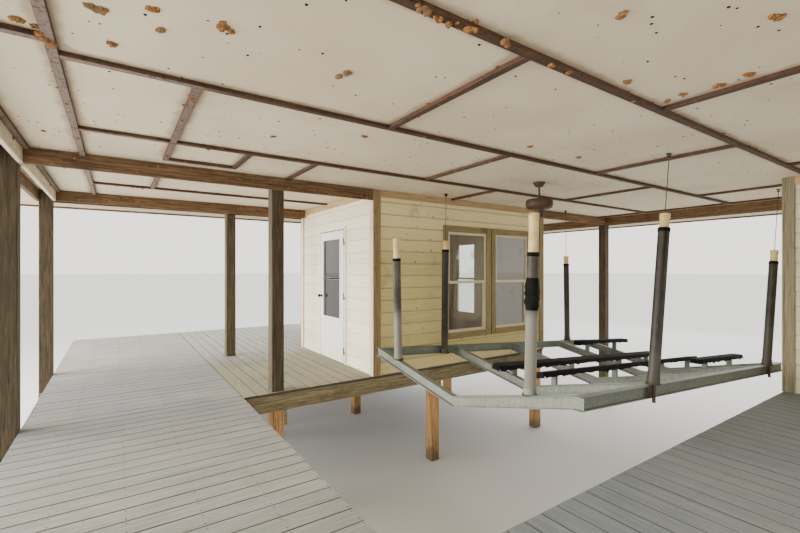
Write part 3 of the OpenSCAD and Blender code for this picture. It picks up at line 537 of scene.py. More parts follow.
# The separate solids in a shape, each as a list of its vertices
def looseParts(shape):
    seen = set()
    for first in shape.verts:
        if first in seen:
            continue
        part, waiting = [], [first]
        seen.add(first)
        while waiting:
            vert = waiting.pop()
            part.append(vert)
            for edge in vert.link_edges:
                other = edge.other_vert(vert)
                if other not in seen:
                    seen.add(other)
                    waiting.append(other)
        yield part


def islandsOf(nodeName):
    shape = mergedCopy(nodeName)
    found = []
    for part in looseParts(shape):
        group = [vert.co.copy() for vert in part]
        low = Vector([min(p[k] for p in group) for k in range(3)])
        high = Vector([max(p[k] for p in group) for k in range(3)])
        found.append((low, high, group))
    shape.free()
    return sorted(found, key=lambda one: tuple(round(c, 4) for c in (*one[0], *one[1])))


def toneByIsland(mesh, seed):
    chance = random.Random(seed)
    shape = bmesh.new()
    shape.from_mesh(mesh)
    layer = shape.verts.layers.float.new("tone")
    for part in looseParts(shape):
        tone = chance.random()
        for vert in part:
            vert[layer] = tone
    shape.to_mesh(mesh)
    shape.free()


# A CAD node's own form with its edges broken, for shapes that aren't plain boards
def softened(nodeName, pieceName, width, material, body="root", segments=2, seed=3, sharp=32):
    shape = mergedCopy(nodeName)
    joinFlats(shape)
    if width:
        edges = [edge for edge in shape.edges
                 if len(edge.link_faces) == 2 and edge.calc_face_angle(0) > math.radians(sharp)]
        bmesh.ops.bevel(shape, geom=edges, offset=width, segments=segments, profile=0.6, affect="EDGES",
                        clamp_overlap=True)
    bmesh.ops.recalc_face_normals(shape, faces=shape.faces)
    mesh = meshFrom(shape, pieceName)
    mesh.polygons.foreach_set("use_smooth", [True] * len(mesh.polygons))
    mesh.set_sharp_from_angle(angle=math.radians(sharp))
    toneByIsland(mesh, seed)
    thing = linkObject(pieceName, mesh)
    mesh.materials.append(material)
    return settle(thing, body, [nodeName])


# A piece made from a shape whose flat faces are joined and whose edges stay sharp
def plainPiece(shape, pieceName, material, nodeNames):
    joinFlats(shape)
    bmesh.ops.recalc_face_normals(shape, faces=shape.faces)
    mesh = meshFrom(shape, pieceName)
    mesh.materials.append(material)
    settle(linkObject(pieceName, mesh), "root", nodeNames)


def boardsFrom(nodeName, pieceName, lookName, slotName, chamfer, seed):
    pile = Solids(seed)
    for low, high, _ in islandsOf(nodeName):
        pile.board(low, high, chamfer)
    return pile.piece(pieceName, timberSet(lookName), slotName, replaces=[nodeName])


# Geometry trees: one host object, its inputs set by identifier, evaluated once to a plain mesh
def grow(hostName, tree, values, points=None):
    mesh = points or bpy.data.meshes.new(hostName + "Points")
    host = linkObject(hostName, mesh)
    modifier = host.modifiers.new("tree", "NODES")
    modifier.node_group = tree
    for item in tree.interface.items_tree:
        if item.item_type == "SOCKET" and item.in_out == "INPUT" and item.name in values:
            modifier[item.identifier] = values[item.name]
    graph = bpy.context.evaluated_depsgraph_get()
    made = bpy.data.meshes.new_from_object(host.evaluated_get(graph), preserve_all_data_layers=True,
                                           depsgraph=graph)
    host.modifiers.remove(modifier)
    host.data = made
    made.name = hostName
    return host


def pointCloud(name, places, turns=None, tones=None):
    mesh = bpy.data.meshes.new(name)
    mesh.from_pydata([tuple(p) for p in places], [], [])
    if turns:
        flat = [value for turn in turns for value in turn]
        mesh.attributes.new("turn", "FLOAT_VECTOR", "POINT").data.foreach_set("vector", flat)
    if tones:
        mesh.attributes.new("tone", "FLOAT", "POINT").data.foreach_set("value", tones)
    return mesh


# Objects that the geometry trees take in, and that are removed at the end
helperObjects = []


def hide(thing):
    thing.hide_render = True
    helperObjects.append(thing)
    return thing


def helper(name, solids):
    thing = linkObject(name, solids.mesh(name))
    faceOut(thing)
    return hide(thing)


def geometryGroup(name, inputs):
    shape = {"Geometry": "Geometry"}
    return makeGroup(name, {**shape, **inputs}, shape, "GeometryNodeTree")


def shapeOf(tree, thing):
    return addNode(tree, "GeometryNodeObjectInfo", {"Object": thing}).outputs["Geometry"]


def randomOf(tree, kind, low, high, seed):
    node = addNode(tree, "FunctionNodeRandomValue", data_type=kind)
    at = {"FLOAT": (2, 3, 1), "FLOAT_VECTOR": (0, 1, 0)}[kind]
    join(tree, node.inputs[at[0]], low)
    join(tree, node.inputs[at[1]], high)
    join(tree, node.inputs["Seed"], seed)
    return node.outputs[at[2]]


def closeTree(tree, out, geometry, material):
    real = addNode(tree, "GeometryNodeRealizeInstances", {0: geometry}).outputs[0]
    final = addNode(tree, "GeometryNodeSetMaterial", {0: real, "Material": material}).outputs[0]
    join(tree, out["Geometry"], final)


# A row of equal boards laid side by side, each a little off in place and tone
def makeBoardRow():
    tree, given, out = geometryGroup("boardRow", {
        "Count": "Int", "Start": "Vector", "Step": "Vector", "Board": "Object", "Jitter": "Vector",
        "Seed": "Int", "Finish": "Material"})
    line = addNode(tree, "GeometryNodeMeshLine", {"Count": given["Count"], "Start Location": given["Start"],
                                                  "Offset": given["Step"]}, mode="OFFSET").outputs[0]
    tone = addNode(tree, "GeometryNodeStoreNamedAttribute",
                   {"Geometry": line, "Name": "tone",
                    "Value": randomOf(tree, "FLOAT", 0.0, 1.0, given["Seed"])},
                   data_type="FLOAT", domain="POINT").outputs[0]
    least = scaled(tree, given["Jitter"], (-1, -1, -1))
    offset = randomOf(tree, "FLOAT_VECTOR", least, given["Jitter"], given["Seed"])
    shaken = addNode(tree, "GeometryNodeSetPosition", {"Geometry": tone, "Offset": offset}).outputs[0]
    source = shapeOf(tree, given["Board"])
    laid = addNode(tree, "GeometryNodeInstanceOnPoints", {"Points": shaken, "Instance": source}).outputs[0]
    closeTree(tree, out, laid, given["Finish"])
    return tree


# The same for lap siding, with its openings cut out of the boards
def makeLapSiding():
    tree, given, out = geometryGroup("lapSiding", {
        "Rows": "Int", "Start": "Vector", "Exposure": "Float", "Board": "Object", "Openings": "Object",
        "Finish": "Material"})
    rise = addNode(tree, "ShaderNodeCombineXYZ", {2: given["Exposure"]}).outputs[0]
    line = addNode(tree, "GeometryNodeMeshLine", {"Count": given["Rows"], "Start Location": given["Start"],
                                                  "Offset": rise}, mode="OFFSET").outputs[0]
    source = shapeOf(tree, given["Board"])
    laid = addNode(tree, "GeometryNodeInstanceOnPoints", {"Points": line, "Instance": source}).outputs[0]
    real = addNode(tree, "GeometryNodeRealizeInstances", {0: laid}).outputs[0]
    holes = shapeOf(tree, given["Openings"])
    cut = addNode(tree, "GeometryNodeMeshBoolean", {"Mesh 1": real, "Mesh 2": holes}, operation="DIFFERENCE",
                  solver="EXACT").outputs[0]
    closeTree(tree, out, cut, given["Finish"])
    return tree


# A small shape set on given points, turned by their own "turn" and scaled a little at random
def makeScatter():
    tree, given, out = geometryGroup("scatter", {
        "Shape": "Object", "Small": "Float", "Large": "Float", "Seed": "Int", "Finish": "Material"})
    source = shapeOf(tree, given["Shape"])
    turn = addNode(tree, "GeometryNodeInputNamedAttribute", {"Name": "turn"}, data_type="FLOAT_VECTOR")
    size = randomOf(tree, "FLOAT", given["Small"], given["Large"], given["Seed"])
    turned = addNode(tree, "FunctionNodeEulerToRotation", {0: turn.outputs[0]}).outputs[0]
    laid = addNode(tree, "GeometryNodeInstanceOnPoints", {"Points": given["Geometry"], "Instance": source,
                                                          "Rotation": turned, "Scale": size})
    closeTree(tree, out, laid.outputs[0], given["Finish"])
    return tree


boardRow = makeBoardRow()
lapSiding = makeLapSiding()
scatter = makeScatter()
print("geometry trees made")


def scattered(name, shape, sizes, seed, material, places, turns=None, tones=None):
    made = grow(name, scatter, {"Shape": shape, "Small": sizes[0], "Large": sizes[1], "Seed": seed,
                                "Finish": material}, pointCloud(name + "Places", places, turns, tones))
    settle(made, "root")


# Sizes that come from the CAD nodes
ceilingLow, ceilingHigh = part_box("ceiling")
walkLow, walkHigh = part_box("walkway_deck")
landLow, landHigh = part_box("landing_deck")
sideLow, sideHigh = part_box("side_deck")
cabinLow = Vector((*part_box("cabin_front_wall")[0].xy, walkHigh.z))
cabinHigh = Vector((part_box("cabin_lake_wall")[1].x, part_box("cabin_rear_wall")[1].y, ceilingLow.z))
storeLow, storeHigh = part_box("storeroom_end_walls")
sashUnits = islandsOf("window_sashes")
print("sizes read")

# Decks of grained composite boards
deckLook = {"pitch": 0.1435, "gap": 0.0055, "chamfer": 0.0018, "jitter": (0.001, 0.0008, 0.0008),
            "joint": 3.66, "end": 0.0012, "screwRadius": 0.0045, "screwOffset": 0.045,
            "grey": (paint(122, 123, 119), paint(148, 149, 145), paint(172, 173, 168)),
            # The dark edge colour serves for specks of dirt and for painted shade on the boards' sides in the
            # gaps
            "edge": paint(52, 49, 42), "moss": paint(142, 148, 112), "stain": paint(120, 108, 84),
            "paler": paint(202, 188, 164), "bandShadeRange": ((-1.0, 0.2), (1.8, 3.0)),
            # These three colours are painted shade, multiplied over a band of the decks and over the side
            # deck
            "bandShade": paint(222, 226, 236), "yellowBandShade": paint(222, 219, 196), "shaded": paint(209, 219, 236)}


def makeDeckMaterial(name, run):
    material, tree, shader, place = startMaterial(name, 0.74)
    tone = toneAttribute(tree)
    dark, middle, light = deckLook["grey"]
    streak = noiseOf(tree, scaled(tree, place, run), 62.0, 4.0, 0.6)
    speck = noiseOf(tree, place, 240.0, 3.0, 0.75)
    mixed = plus(tree, times(tree, streak, 0.55), times(tree, speck, 0.45))
    color = rampOf(tree, mixed, [(0.34, dark), (0.5, middle), (0.66, light)])
    color = toned(tree, color, tone, 0.9, 0.16)
    broad = noiseOf(tree, place, 0.45, 4.0, 0.55)
    color = mixOf(tree, rangeOf(tree, broad, 0.46, 0.66, 0.0, 0.35), color, deckLook["moss"])
    color = mixOf(tree, rangeOf(tree, broad, 0.5, 0.34, 0.0, 0.3), color, deckLook["paler"])
    aged = weathered(tree, place, 1.1, 0.35)
    color = coat(tree, color, aged["Stain"], 0.22, deckLook["stain"])
    color = coat(tree, color, aged["Speck"], 0.35, deckLook["edge"])
    # Painted shade over a band of boards by the slip's inner corner, yellower on the landing, and over the
    # whole side deck
    across = partsOf(tree, place)[1]
    reached, left = deckLook["bandShadeRange"]
    bandShade = times(tree, rangeOf(tree, across, *reached), rangeOf(tree, across, *left, 1.0, 0.0))
    color = mixOf(tree, bandShade, color, deckLook["bandShade" if run is alongX else "yellowBandShade"], "MULTIPLY")
    if run is alongY:
        shade = rangeOf(tree, across, sideHigh.y, landLow.y, 1.0, 0.0)
        color = mixOf(tree, shade, color, deckLook["shaded"], "MULTIPLY")
    # Painted shade on the boards' sides, down in the gaps between them
    edge = rangeOf(tree, facingUp(tree, "True Normal"), 0.75, 0.95, 0.9, 0.0)
    color = mixOf(tree, edge, color, deckLook["edge"])
    finish(tree, shader, color, mixed, 0.3, 0.002)
    return material


deckFinishes = [makeDeckMaterial("deckCompositeX", alongX), makeDeckMaterial("deckCompositeY", alongY)]


def deckRow(name, along, low, high, seed, replaces, cuts=(), every=1, first=0):
    other = 1 - along
    count = round((high[other] - low[other]) / deckLook["pitch"])
    pitch = (high[other] - low[other]) / count
    half = (pitch - deckLook["gap"]) / 2
    shape = Solids(seed)
    edges = [low[along]] + list(cuts) + [high[along]]
    for start, end in zip(edges, edges[1:]):
        a, b = [0, 0, low[2]], [0, 0, high[2]]
        a[along], b[along] = start + deckLook["end"], end - deckLook["end"]
        a[other], b[other] = -half, half
        shape.board(a, b, deckLook["chamfer"])
    begin, step = [0, 0, 0], [0, 0, 0]
    begin[other] = low[other] + pitch * (first + 0.5)
    step[other] = pitch * every
    board = helper(name + "Board", shape)
    made = grow(name, boardRow, {"Count": (count - first + every - 1) // every, "Start": tuple(begin),
                                 "Step": tuple(step), "Board": board, "Jitter": deckLook["jitter"],
                                 "Seed": seed, "Finish": deckFinishes[along]})
    settle(made, "root", replaces)
    return [low[other] + pitch * (k + 0.5) for k in range(count)]


walkRows = deckRow("walkwayBoards", 0, walkLow, walkHigh, 11, ["walkway_deck"])
frontHigh = Vector((cabinLow.x, landHigh.y, landHigh.z))
jointNear, jointFar = landLow.y + deckLook["joint"], landHigh.y - deckLook["joint"]
landRows = deckRow("landingBoardsOdd", 1, landLow, frontHigh, 12, ["landing_deck"], [jointNear], 2, 0)
deckRow("landingBoardsEven", 1, landLow, frontHigh, 13, [], [jointFar], 2, 1)
rearLow = Vector((cabinLow.x, cabinHigh.y, landLow.z))
rearRows = deckRow("rearBoards", 1, rearLow, landHigh, 14, [])
sideRows = deckRow("sideBoards", 1, sideLow, sideHigh, 15, ["side_deck"])


def metalMaterial(name, color, roughness, metallic, rust, grit=0.15):
    material, tree, shader, place = startMaterial(name, roughness, Metallic=metallic)
    cover = rusted(tree, place, rust)
    aged = weathered(tree, place, 0.35, 0.6)
    tint = coat(tree, color, aged["Stain"], 0.45, tuple(c * 0.55 for c in color[:3]) + (1,))
    tint = mixOf(tree, cover["Rust"], tint, cover["Color"])
    join(tree, shader.inputs["Metallic"], mixFloat(tree, cover["Rust"], metallic, 0.0))
    join(tree, shader.inputs["Roughness"], mixFloat(tree, cover["Rust"], roughness, 0.85))
    finish(tree, shader, tint, cover["Height"], grit, 0.001)
    return material


screwSteel = metalMaterial("screwSteel", paint(92, 86, 76), 0.5, 0.8, 0.35)
darkMetal = metalMaterial("darkMetal", paint(40, 37, 34), 0.4, 0.9, 0.25)


# Deck screws, two in each board over each joist
def deckScrews():
    shape = Solids(2)
    radius, offset = deckLook["screwRadius"], deckLook["screwOffset"]
    shape.lathe([(0, 0.0006), (radius * 0.35, 0.0006), (radius * 0.6, 0.0012), (radius, 0.0008),
                 (radius * 1.05, -0.001), (0, -0.001)], (0, 0, 0), sides=6)
    places = []
    top = walkHigh.z
    joistXs = [(low.x + high.x) / 2 for low, high, _ in islandsOf("walkway_joists")]
    for y in walkRows:
        for x in joistXs:
            places += [(x, y - offset, top), (x, y + offset, top)]
    for low, high, _ in islandsOf("slip_joists"):
        y = (low.y + high.y) / 2
        rows = sideRows if y < 0 else landRows + (rearRows if y > cabinHigh.y else [])
        for x in rows:
            places += [(x - offset, y, top), (x + offset, y, top)]
    scattered("deckScrews", helper("deckScrewHead", shape), (0.9, 1.1), 3, screwSteel, places)


deckScrews()
print("decks laid")

# Timbers
boardsFrom("piles", "pileTimbers", "pileTimber", "pile_timber", 0.006, 21)
boardsFrom("water_posts", "waterPostTimbers", "postTimber", "treated_timber", 0.006, 22)
boardsFrom("landing_posts", "landingPostTimbers", "postTimber", "treated_timber", 0.006, 23)
boardsFrom("cross_beams", "crossBeamTimbers", "framingTimber", "framing_timber", 0.004, 24)
boardsFrom("walkway_joists", "walkwayJoistTimbers", "framingTimber", "framing_timber", 0.004, 25)
boardsFrom("slip_joists", "slipJoistTimbers", "framingTimber", "framing_timber", 0.004, 26)
boardsFrom("row_beams", "rowBeamTimbers", "beamTimber", "treated_timber", 0.004, 27)
boardsFrom("ceiling_battens_long", "longBattens", "battenTimber", "ceiling_batten", 0.002, 29)
boardsFrom("ceiling_battens_short", "shortBattens", "battenTimber", "ceiling_batten", 0.002, 30)


# The second beam has been painted like the eaves
def endBeamTimbers():
    pile = Solids(28)
    for k, (low, high, _) in enumerate(islandsOf("end_beams")):
        pile.board(low, high, 0.004, slot=3 if k == 1 else 1)
    materials = timberSet("beamTimber") + [timberMaterial("eavePaint", alongY)]
    pile.piece("endBeamTimbers", materials, "treated_timber", replaces=["end_beams"])


endBeamTimbers()


# Boards laid end to end along the box from low to high, each as long as the longest allowed or less
def boardsInLine(pile, low, high, longest, seam, chamfer):
    along = 0 if high[0] - low[0] > high[1] - low[1] else 1
    start, end = low[along], high[along]
    count = max(1, math.ceil((end - start) / longest))
    step = (end - start) / count
    for k in range(count):
        a, b = list(low), list(high)
        a[along], b[along] = start + k * step + seam, start + (k + 1) * step - seam
        pile.board(a, b, chamfer)


def rimTimbers():
    pile = Solids(31)
    low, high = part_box("rim_boards")
    thick, longest, seam = 0.038, 3.9, 0.0008
    xIn, yIn, ySlip = walkHigh.x, landLow.y, sideHigh.y
    runs = [((xIn, yIn), (landHigh.x, yIn + thick)),
            ((landHigh.x - thick, yIn + thick), (landHigh.x, high.y - thick)),
            ((low.x, high.y - thick), (landHigh.x, high.y)),
            ((xIn, ySlip - thick), (sideHigh.x, ySlip)),
            ((sideHigh.x - thick, low.y + thick), (sideHigh.x, ySlip - thick)),
            ((low.x, low.y), (sideHigh.x, low.y + thick))]
    for a, b in runs:
        boardsInLine(pile, (*a, low.z), (*b, high.z), longest, seam, 0.004)
    pile.piece("rimTimbers", timberSet("framingTimber"), "framing_timber", replaces=["rim_boards"])


rimTimbers()
print("timbers made")

# Cabin and store room: wall frames, and lap siding over them
sidingLook = {"exposure": 0.162, "recess": 0.0145, "lap": 0.012, "cut": 0.2}
sidingPaints = {
    "slipSiding": {"light": paint(230, 214, 150), "dark": paint(194, 176, 110), "stain": paint(104, 82, 42),
                   "amount": 0.45, "seam": 0.75, "paler": paint(252, 236, 186)},
    "doorSiding": {"light": paint(247, 238, 216), "dark": paint(222, 208, 180), "stain": paint(168, 148, 114),
                   "amount": 0.3, "seam": 0.45},
    "storeSiding": {"light": paint(216, 208, 172), "dark": paint(186, 176, 140), "stain": paint(124, 114, 84),
                    "amount": 0.4, "seam": 0.55},
}


def sidingMaterial(name, run):
    look = sidingPaints[name]
    material, tree, shader, place = startMaterial(name + "XYZ"[run.index(0.045)], 0.62)
    height = partsOf(tree, place)[2]
    row = useGroup(tree, rowTone, {"Place": height, "Start": cabinLow.z, "Pitch": sidingLook["exposure"],
                                   "Seed": 3.0})
    figure = useGroup(tree, timberFigure, {"Vector": place, "Stretch": run, "Fineness": 0.8})
    color = mixOf(tree, rangeOf(tree, figure["Grain"], 0.3, 0.7), look["dark"], look["light"])
    color = mixOf(tree, 0.5, color, look["light"])
    color = toned(tree, color, row["Tone"], 0.9, 0.14)
    # The wall is lighter towards its top
    if "paler" in look:
        upper = rangeOf(tree, height, cabinHigh.z - 1.1, cabinHigh.z - 0.2, 0.0, 0.8)
        color = mixOf(tree, upper, color, look["paler"])
    aged = weathered(tree, place, 0.8, look["amount"])
    color = coat(tree, color, aged["Stain"], 0.4, look["stain"])
    color = coat(tree, color, aged["Speck"], 0.35, look["stain"])
    low = rangeOf(tree, row["Share"], 0.0, 0.12, 0.3, 0.0)
    color = mixOf(tree, low, color, look["stain"])
    # The shadowed and dirty seam just under each board
    broken = rangeOf(tree, noiseOf(tree, place, 4.0, 3.0, 0.6), 0.3, 0.6, 0.45, 1.0)
    seam = times(tree, rangeOf(tree, row["Share"], 0.94, 0.975, 0.0, look["seam"]), broken)
    color = mixOf(tree, seam, color, look["stain"])
    color = coat(tree, color, figure["Knot"], 0.35, look["stain"])
    finish(tree, shader, color, figure["Height"], 0.14, 0.003)
    return material


def liningMaterial():
    material, tree, shader, place = startMaterial("roomLining", 0.7)
    aged = weathered(tree, place, 1.4, 0.4)
    color = coat(tree, paint(238, 218, 202), aged["Stain"], 0.3, paint(186, 156, 136))
    finish(tree, shader, color, noiseOf(tree, place, 40.0), 0.05, 0.002)
    return material


roomLining = liningMaterial()
slipSidingX, slipSidingY = sidingMaterial("slipSiding", alongX), sidingMaterial("slipSiding", alongY)
doorSidingY = sidingMaterial("doorSiding", alongY)
storeSidingX, storeSidingY = sidingMaterial("storeSiding", alongX), sidingMaterial("storeSiding", alongY)


def wallFrame(pieceName, nodeNames, low, high):
    recess = sidingLook["recess"]
    shape = bmesh.new()
    for nodeName in nodeNames:
        shape.from_mesh(nodes[nodeName].data)
    bmesh.ops.remove_doubles(shape, verts=shape.verts, dist=1e-5)
    for vert in shape.verts:
        for k in (0, 1):
            if abs(vert.co[k] - low[k]) < 1e-4:
                vert.co[k] += recess
            elif abs(vert.co[k] - high[k]) < 1e-4:
                vert.co[k] -= recess
    plainPiece(shape, pieceName, roomLining, nodeNames)


def block(pile, low, high):
    outline = [(low[0], low[1]), (high[0], low[1]), (high[0], high[1]), (low[0], high[1])]
    pile.prism(outline, lambda p, q, s: (p, q, s), low[2], high[2])


# Nails in the siding, above each board's lower edge and clear of the trim
nailLook = {"spacing": 0.27, "share": 0.45, "radius": 0.0062, "above": 0.024, "clear": 0.09, "underTop": 0.13}
nailPlaces, nailTurns, nailChance = [], [], random.Random(9)


# The wall runs along one axis of its building's box, on the low side of the other axis or the high one
def sidedWall(pieceName, along, sign, boxLow, boxHigh, openings, material):
    start, end, bottom, top = boxLow[along], boxHigh[along], boxLow.z, boxHigh.z
    face = (boxLow if sign < 0 else boxHigh)[1 - along]
    recess, exposure = sidingLook["recess"], sidingLook["exposure"]
    back = face - sign * recess
    tall = exposure + sidingLook["lap"]
    outline = [(0.0058, 0.0), (0.0138, 0.0), (0.0142, 0.004), (0.0044, tall), (0.0006, tall)]

    def place(out, up, run):
        across = back + sign * out
        return (run, across, up) if along == 0 else (across, run, up)

    shape = Solids(1)
    shape.prism(outline, place, start + recess, end - recess)
    board = helper(pieceName + "Board", shape)
    rows = math.ceil((top - bottom) / exposure)
    cutters = Solids(1)
    deep = sidingLook["cut"]
    above = [0, 0, top - 0.001], [0, 0, top + 0.4]
    above[0][along], above[1][along] = start - 0.1, end + 0.1
    for low, high in (*openings, above):
        a, b = list(low), list(high)
        a[1 - along], b[1 - along] = face - deep, face + deep
        block(cutters, a, b)
    holes = helper(pieceName + "Holes", cutters)
    turn = (0, sign * math.pi / 2, 0) if along else (-sign * math.pi / 2, 0, 0)
    room = nailLook["clear"]
    for row in range(rows):
        up = bottom + row * exposure + nailLook["above"]
        for k in range(int((end - start) / nailLook["spacing"])):
            run = start + (k + 0.5) * nailLook["spacing"] + nailChance.uniform(-0.03, 0.03)
            point = place(0.0128, up + nailChance.uniform(-0.006, 0.006), run)
            clear = all(run < low[along] - room or run > high[along] + room or up < low[2] - room
                        or up > high[2] + room for low, high in openings)
            if clear and up < top - nailLook["underTop"] and nailChance.random() < nailLook["share"]:
                nailPlaces.append(point)
                nailTurns.append(turn)
    made = grow(pieceName, lapSiding, {"Rows": rows, "Start": (0, 0, bottom), "Exposure": exposure,
                                       "Board": board, "Openings": holes, "Finish": material})
    settle(made, "root")


def unitsOn(axis, place):
    return [(low, high) for low, high, _ in sashUnits if low[axis] - 0.01 < place < high[axis] + 0.01]


wallFrame("frontWallFrame", ["cabin_front_wall"], cabinLow, cabinHigh)
wallFrame("rearWallFrame", ["cabin_rear_wall"], cabinLow, cabinHigh)
wallFrame("lakeWallFrame", ["cabin_lake_wall"], cabinLow, cabinHigh)
wallFrame("doorWallFrame", ["cabin_door_walls", "cabin_door_header"], cabinLow, cabinHigh)
wallFrame("storeEndFrame", ["storeroom_end_walls"], storeLow, storeHigh)
wallFrame("storeSideFrame", ["storeroom_side_walls"], storeLow, storeHigh)
doorLow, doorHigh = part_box("door_frame")
for name, along, sign, face, material in (
        ("front", 0, -1, cabinLow.y, slipSidingX), ("rear", 0, 1, cabinHigh.y, slipSidingX),
        ("lake", 1, 1, cabinHigh.x, slipSidingY)):
    sidedWall(name + "WallSiding", along, sign, cabinLow, cabinHigh, unitsOn(1 - along, face), material)
doorway = (doorLow - Vector((0, 0, 0.1)), doorHigh)
sidedWall("doorWallSiding", 1, -1, cabinLow, cabinHigh, [doorway], doorSidingY)
for name, along, sign, material in (("storeEnd", 1, -1, storeSidingY), ("storeLake", 1, 1, storeSidingY),
                                    ("storeSlip", 0, 1, storeSidingX), ("storeOuter", 0, -1, storeSidingX)):
    sidedWall(name + "Siding", along, sign, storeLow, storeHigh, [], material)


def sidingNails():
    shape, radius = Solids(4), nailLook["radius"]
    outline = [(0, 0.0012), (radius * 0.7, 0.001), (radius, 0.0002), (radius, -0.001), (0, -0.001)]
    shape.lathe(outline, (0, 0, 0), sides=7)
    scattered("sidingNails", helper("nailHead", shape), (0.4, 1.9), 6, darkMetal, nailPlaces,
              nailTurns)


sidingNails()
print("walls sided")


# Corner boards: two flat boards at each outside corner, one lapping the other
def cornerBoards():
    pile = Solids(41)
    thick, wide, seam = 0.019, 0.089, 0.0008
    for low, high, _ in islandsOf("corner_boards"):
        cabin = low.y > 0 or high.x > cabinLow.x and low.y > storeHigh.y
        middle = (cabinLow + cabinHigh) / 2 if cabin else (storeLow + storeHigh) / 2
        toX, toY = -1 if low.x > middle.x else 1, -1 if low.y > middle.y else 1
        edgeX, edgeY = (high.x if toX < 0 else low.x), (high.y if toY < 0 else low.y)
        inX, inY = edgeX + toX * thick, edgeY + toY * thick
        # Each look below takes three slots, and an upright board the third of them
        slots = (2, 5) if cabin and toX > 0 else (8, 8) if cabin else (11, 11)
        ends = (edgeX, edgeX + toX * (wide + thick)), (inY + toY * seam, edgeY + toY * (wide + thick))
        for xs, ys, slot in ((ends[0], (edgeY, inY), slots[0]), ((edgeX, inX), ends[1], slots[1])):
            pile.board((min(xs), min(ys), low.z), (max(xs), max(ys), high.z), 0.003, slot=slot)
    materials = [m for look in ("cornerTrim", "creamTrim", "oliveTrim", "storeTrim") for m in timberSet(look)]
    pile.piece("cornerBoards", materials, "olive_trim", replaces=["corner_boards"])


cornerBoards()
boardsFrom("frieze_boards", "friezeBoards", "friezeTrim", "olive_trim", 0.003, 42)


def trimBoards():
    pile = Solids(43)
    wide, seam = 0.089, 0.0008
    for low, high, _ in islandsOf("window_trim"):
        thin = 0 if high.x - low.x < high.y - low.y else 1
        start, end = low[1 - thin], high[1 - thin]
        inStart, inEnd = start + wide + seam, end - wide - seam
        for runLow, runHigh, zLow, zHigh in (
                (start, start + wide, low.z, high.z), (end - wide, end, low.z, high.z),
                (inStart, inEnd, high.z - wide, high.z), (inStart, inEnd, low.z, low.z + wide)):
            a, b = [runLow, runLow, zLow], [runHigh, runHigh, zHigh]
            a[thin], b[thin] = low[thin], high[thin]
            pile.board(a, b, 0.003)
    pile.piece("windowTrimBoards", timberSet("oliveTrim"), "olive_trim", replaces=["window_trim"])


trimBoards()


def smoothPaint(name, light, dark, roughness=0.45, dirt=0.3, gapOf=None):
    material, tree, shader, place = startMaterial(name, roughness)
    aged = weathered(tree, place, 0.6, dirt)
    color = coat(tree, light, aged["Stain"], 0.5, dark)
    color = coat(tree, color, aged["Run"], 0.35, dark)
    if gapOf:
        # Painted shadow along the gap between a leaf and its frame
        low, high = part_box(gapOf)
        _, y, z = partsOf(tree, place)
        beside = mathOf(tree, "ABSOLUTE", minus(tree, y, (low.y + high.y) / 2))
        away = mathOf(tree, "MAXIMUM", minus(tree, beside, (high.y - low.y) / 2),
                      minus(tree, z, high.z))
        broken = rangeOf(tree, noiseOf(tree, place, 14.0, 3.0), 0.35, 0.6, 0.5, 0.95)
        line = rangeOf(tree, mathOf(tree, "ABSOLUTE", away), 0.005, 0.013, 1.0, 0.0)
        color = coat(tree, color, line, broken, paint(72, 62, 48))
    finish(tree, shader, color, noiseOf(tree, place, 60.0, 3.0), 0.04, 0.001)
    return material


sashPlastic = smoothPaint("sashPlastic", paint(228, 214, 178), paint(176, 160, 118), 0.5, 0.45)
doorPaint = smoothPaint("doorPaint", paint(242, 240, 232), paint(206, 198, 180), 0.4, 0.3, "door_leaf")
softened("window_sashes", "windowSashes", 0.0025, sashPlastic)
softened("door_frame", "doorFrame", 0.003, doorPaint)
softened("door_leaf", "doorLeaf", 0.003, doorPaint, body="door")


def glassMaterial(name, tint):
    material, tree, shader, place = startMaterial(name, 0.04, **{"IOR": 1.45, "Transmission Weight": 1.0})
    aged = weathered(tree, place, 0.5, 0.5)
    join(tree, shader.inputs["Base Color"], coat(tree, tint, aged["Stain"], 0.3, paint(150, 140, 120)))
    join(tree, shader.inputs["Roughness"], rangeOf(tree, aged["Stain"], 0.0, 1.0, 0.02, 0.16))
    clear = addNode(tree, "ShaderNodeBsdfTransparent", {"Color": tint})
    shadow = addNode(tree, "ShaderNodeLightPath").outputs["Is Shadow Ray"]
    blend = addNode(tree, "ShaderNodeMixShader", {0: shadow, 1: shader.outputs[0], 2: clear.outputs[0]})
    join(tree, tree.nodes["Material Output"].inputs["Surface"], blend.outputs[0])
    return material


glassTints = {"window_glass": (0.86, 0.9, 0.88, 1.0), "door_glass": (0.34, 0.36, 0.36, 1.0)}
for nodeName, tint in glassTints.items():
    nodes[nodeName].data.materials.clear()
    nodes[nodeName].data.materials.append(glassMaterial(nodeName, tint))


# Raised beads round the two lights of the door, on both faces
def doorBeads():
    pile = Solids(44)
    leafLow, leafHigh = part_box("door_leaf")
    bead, proud, sunk, lap, seam = 0.022, 0.007, 0.004, 0.003, 0.0005
    for low, high, _ in islandsOf("door_glass"):
        for face, sign in ((leafLow.x, -1), (leafHigh.x, 1)):
            xLow, xHigh = sorted((face - sign * sunk, face + sign * proud))
            outLow, outHigh = (low.y - bead, low.z - bead), (high.y + bead, high.z + bead)
            inY = low.y + lap + seam, high.y - lap - seam
            for yLow, zLow, yHigh, zHigh in (
                    (*outLow, low.y + lap, outHigh[1]), (high.y - lap, outLow[1], *outHigh),
                    (inY[0], outLow[1], inY[1], low.z + lap), (inY[0], high.z - lap, inY[1], outHigh[1])):
                pile.board((xLow, yLow, zLow), (xHigh, yHigh, zHigh), 0.004, slot=0)
    pile.piece("doorBeads", [doorPaint], "white_door", body="door")


doorBeads()
hingeSteel = metalMaterial("hingeSteel", paint(128, 120, 104), 0.45, 0.7, 0.35)
softened("door_hinges", "doorHinges", 0.0006, hingeSteel)


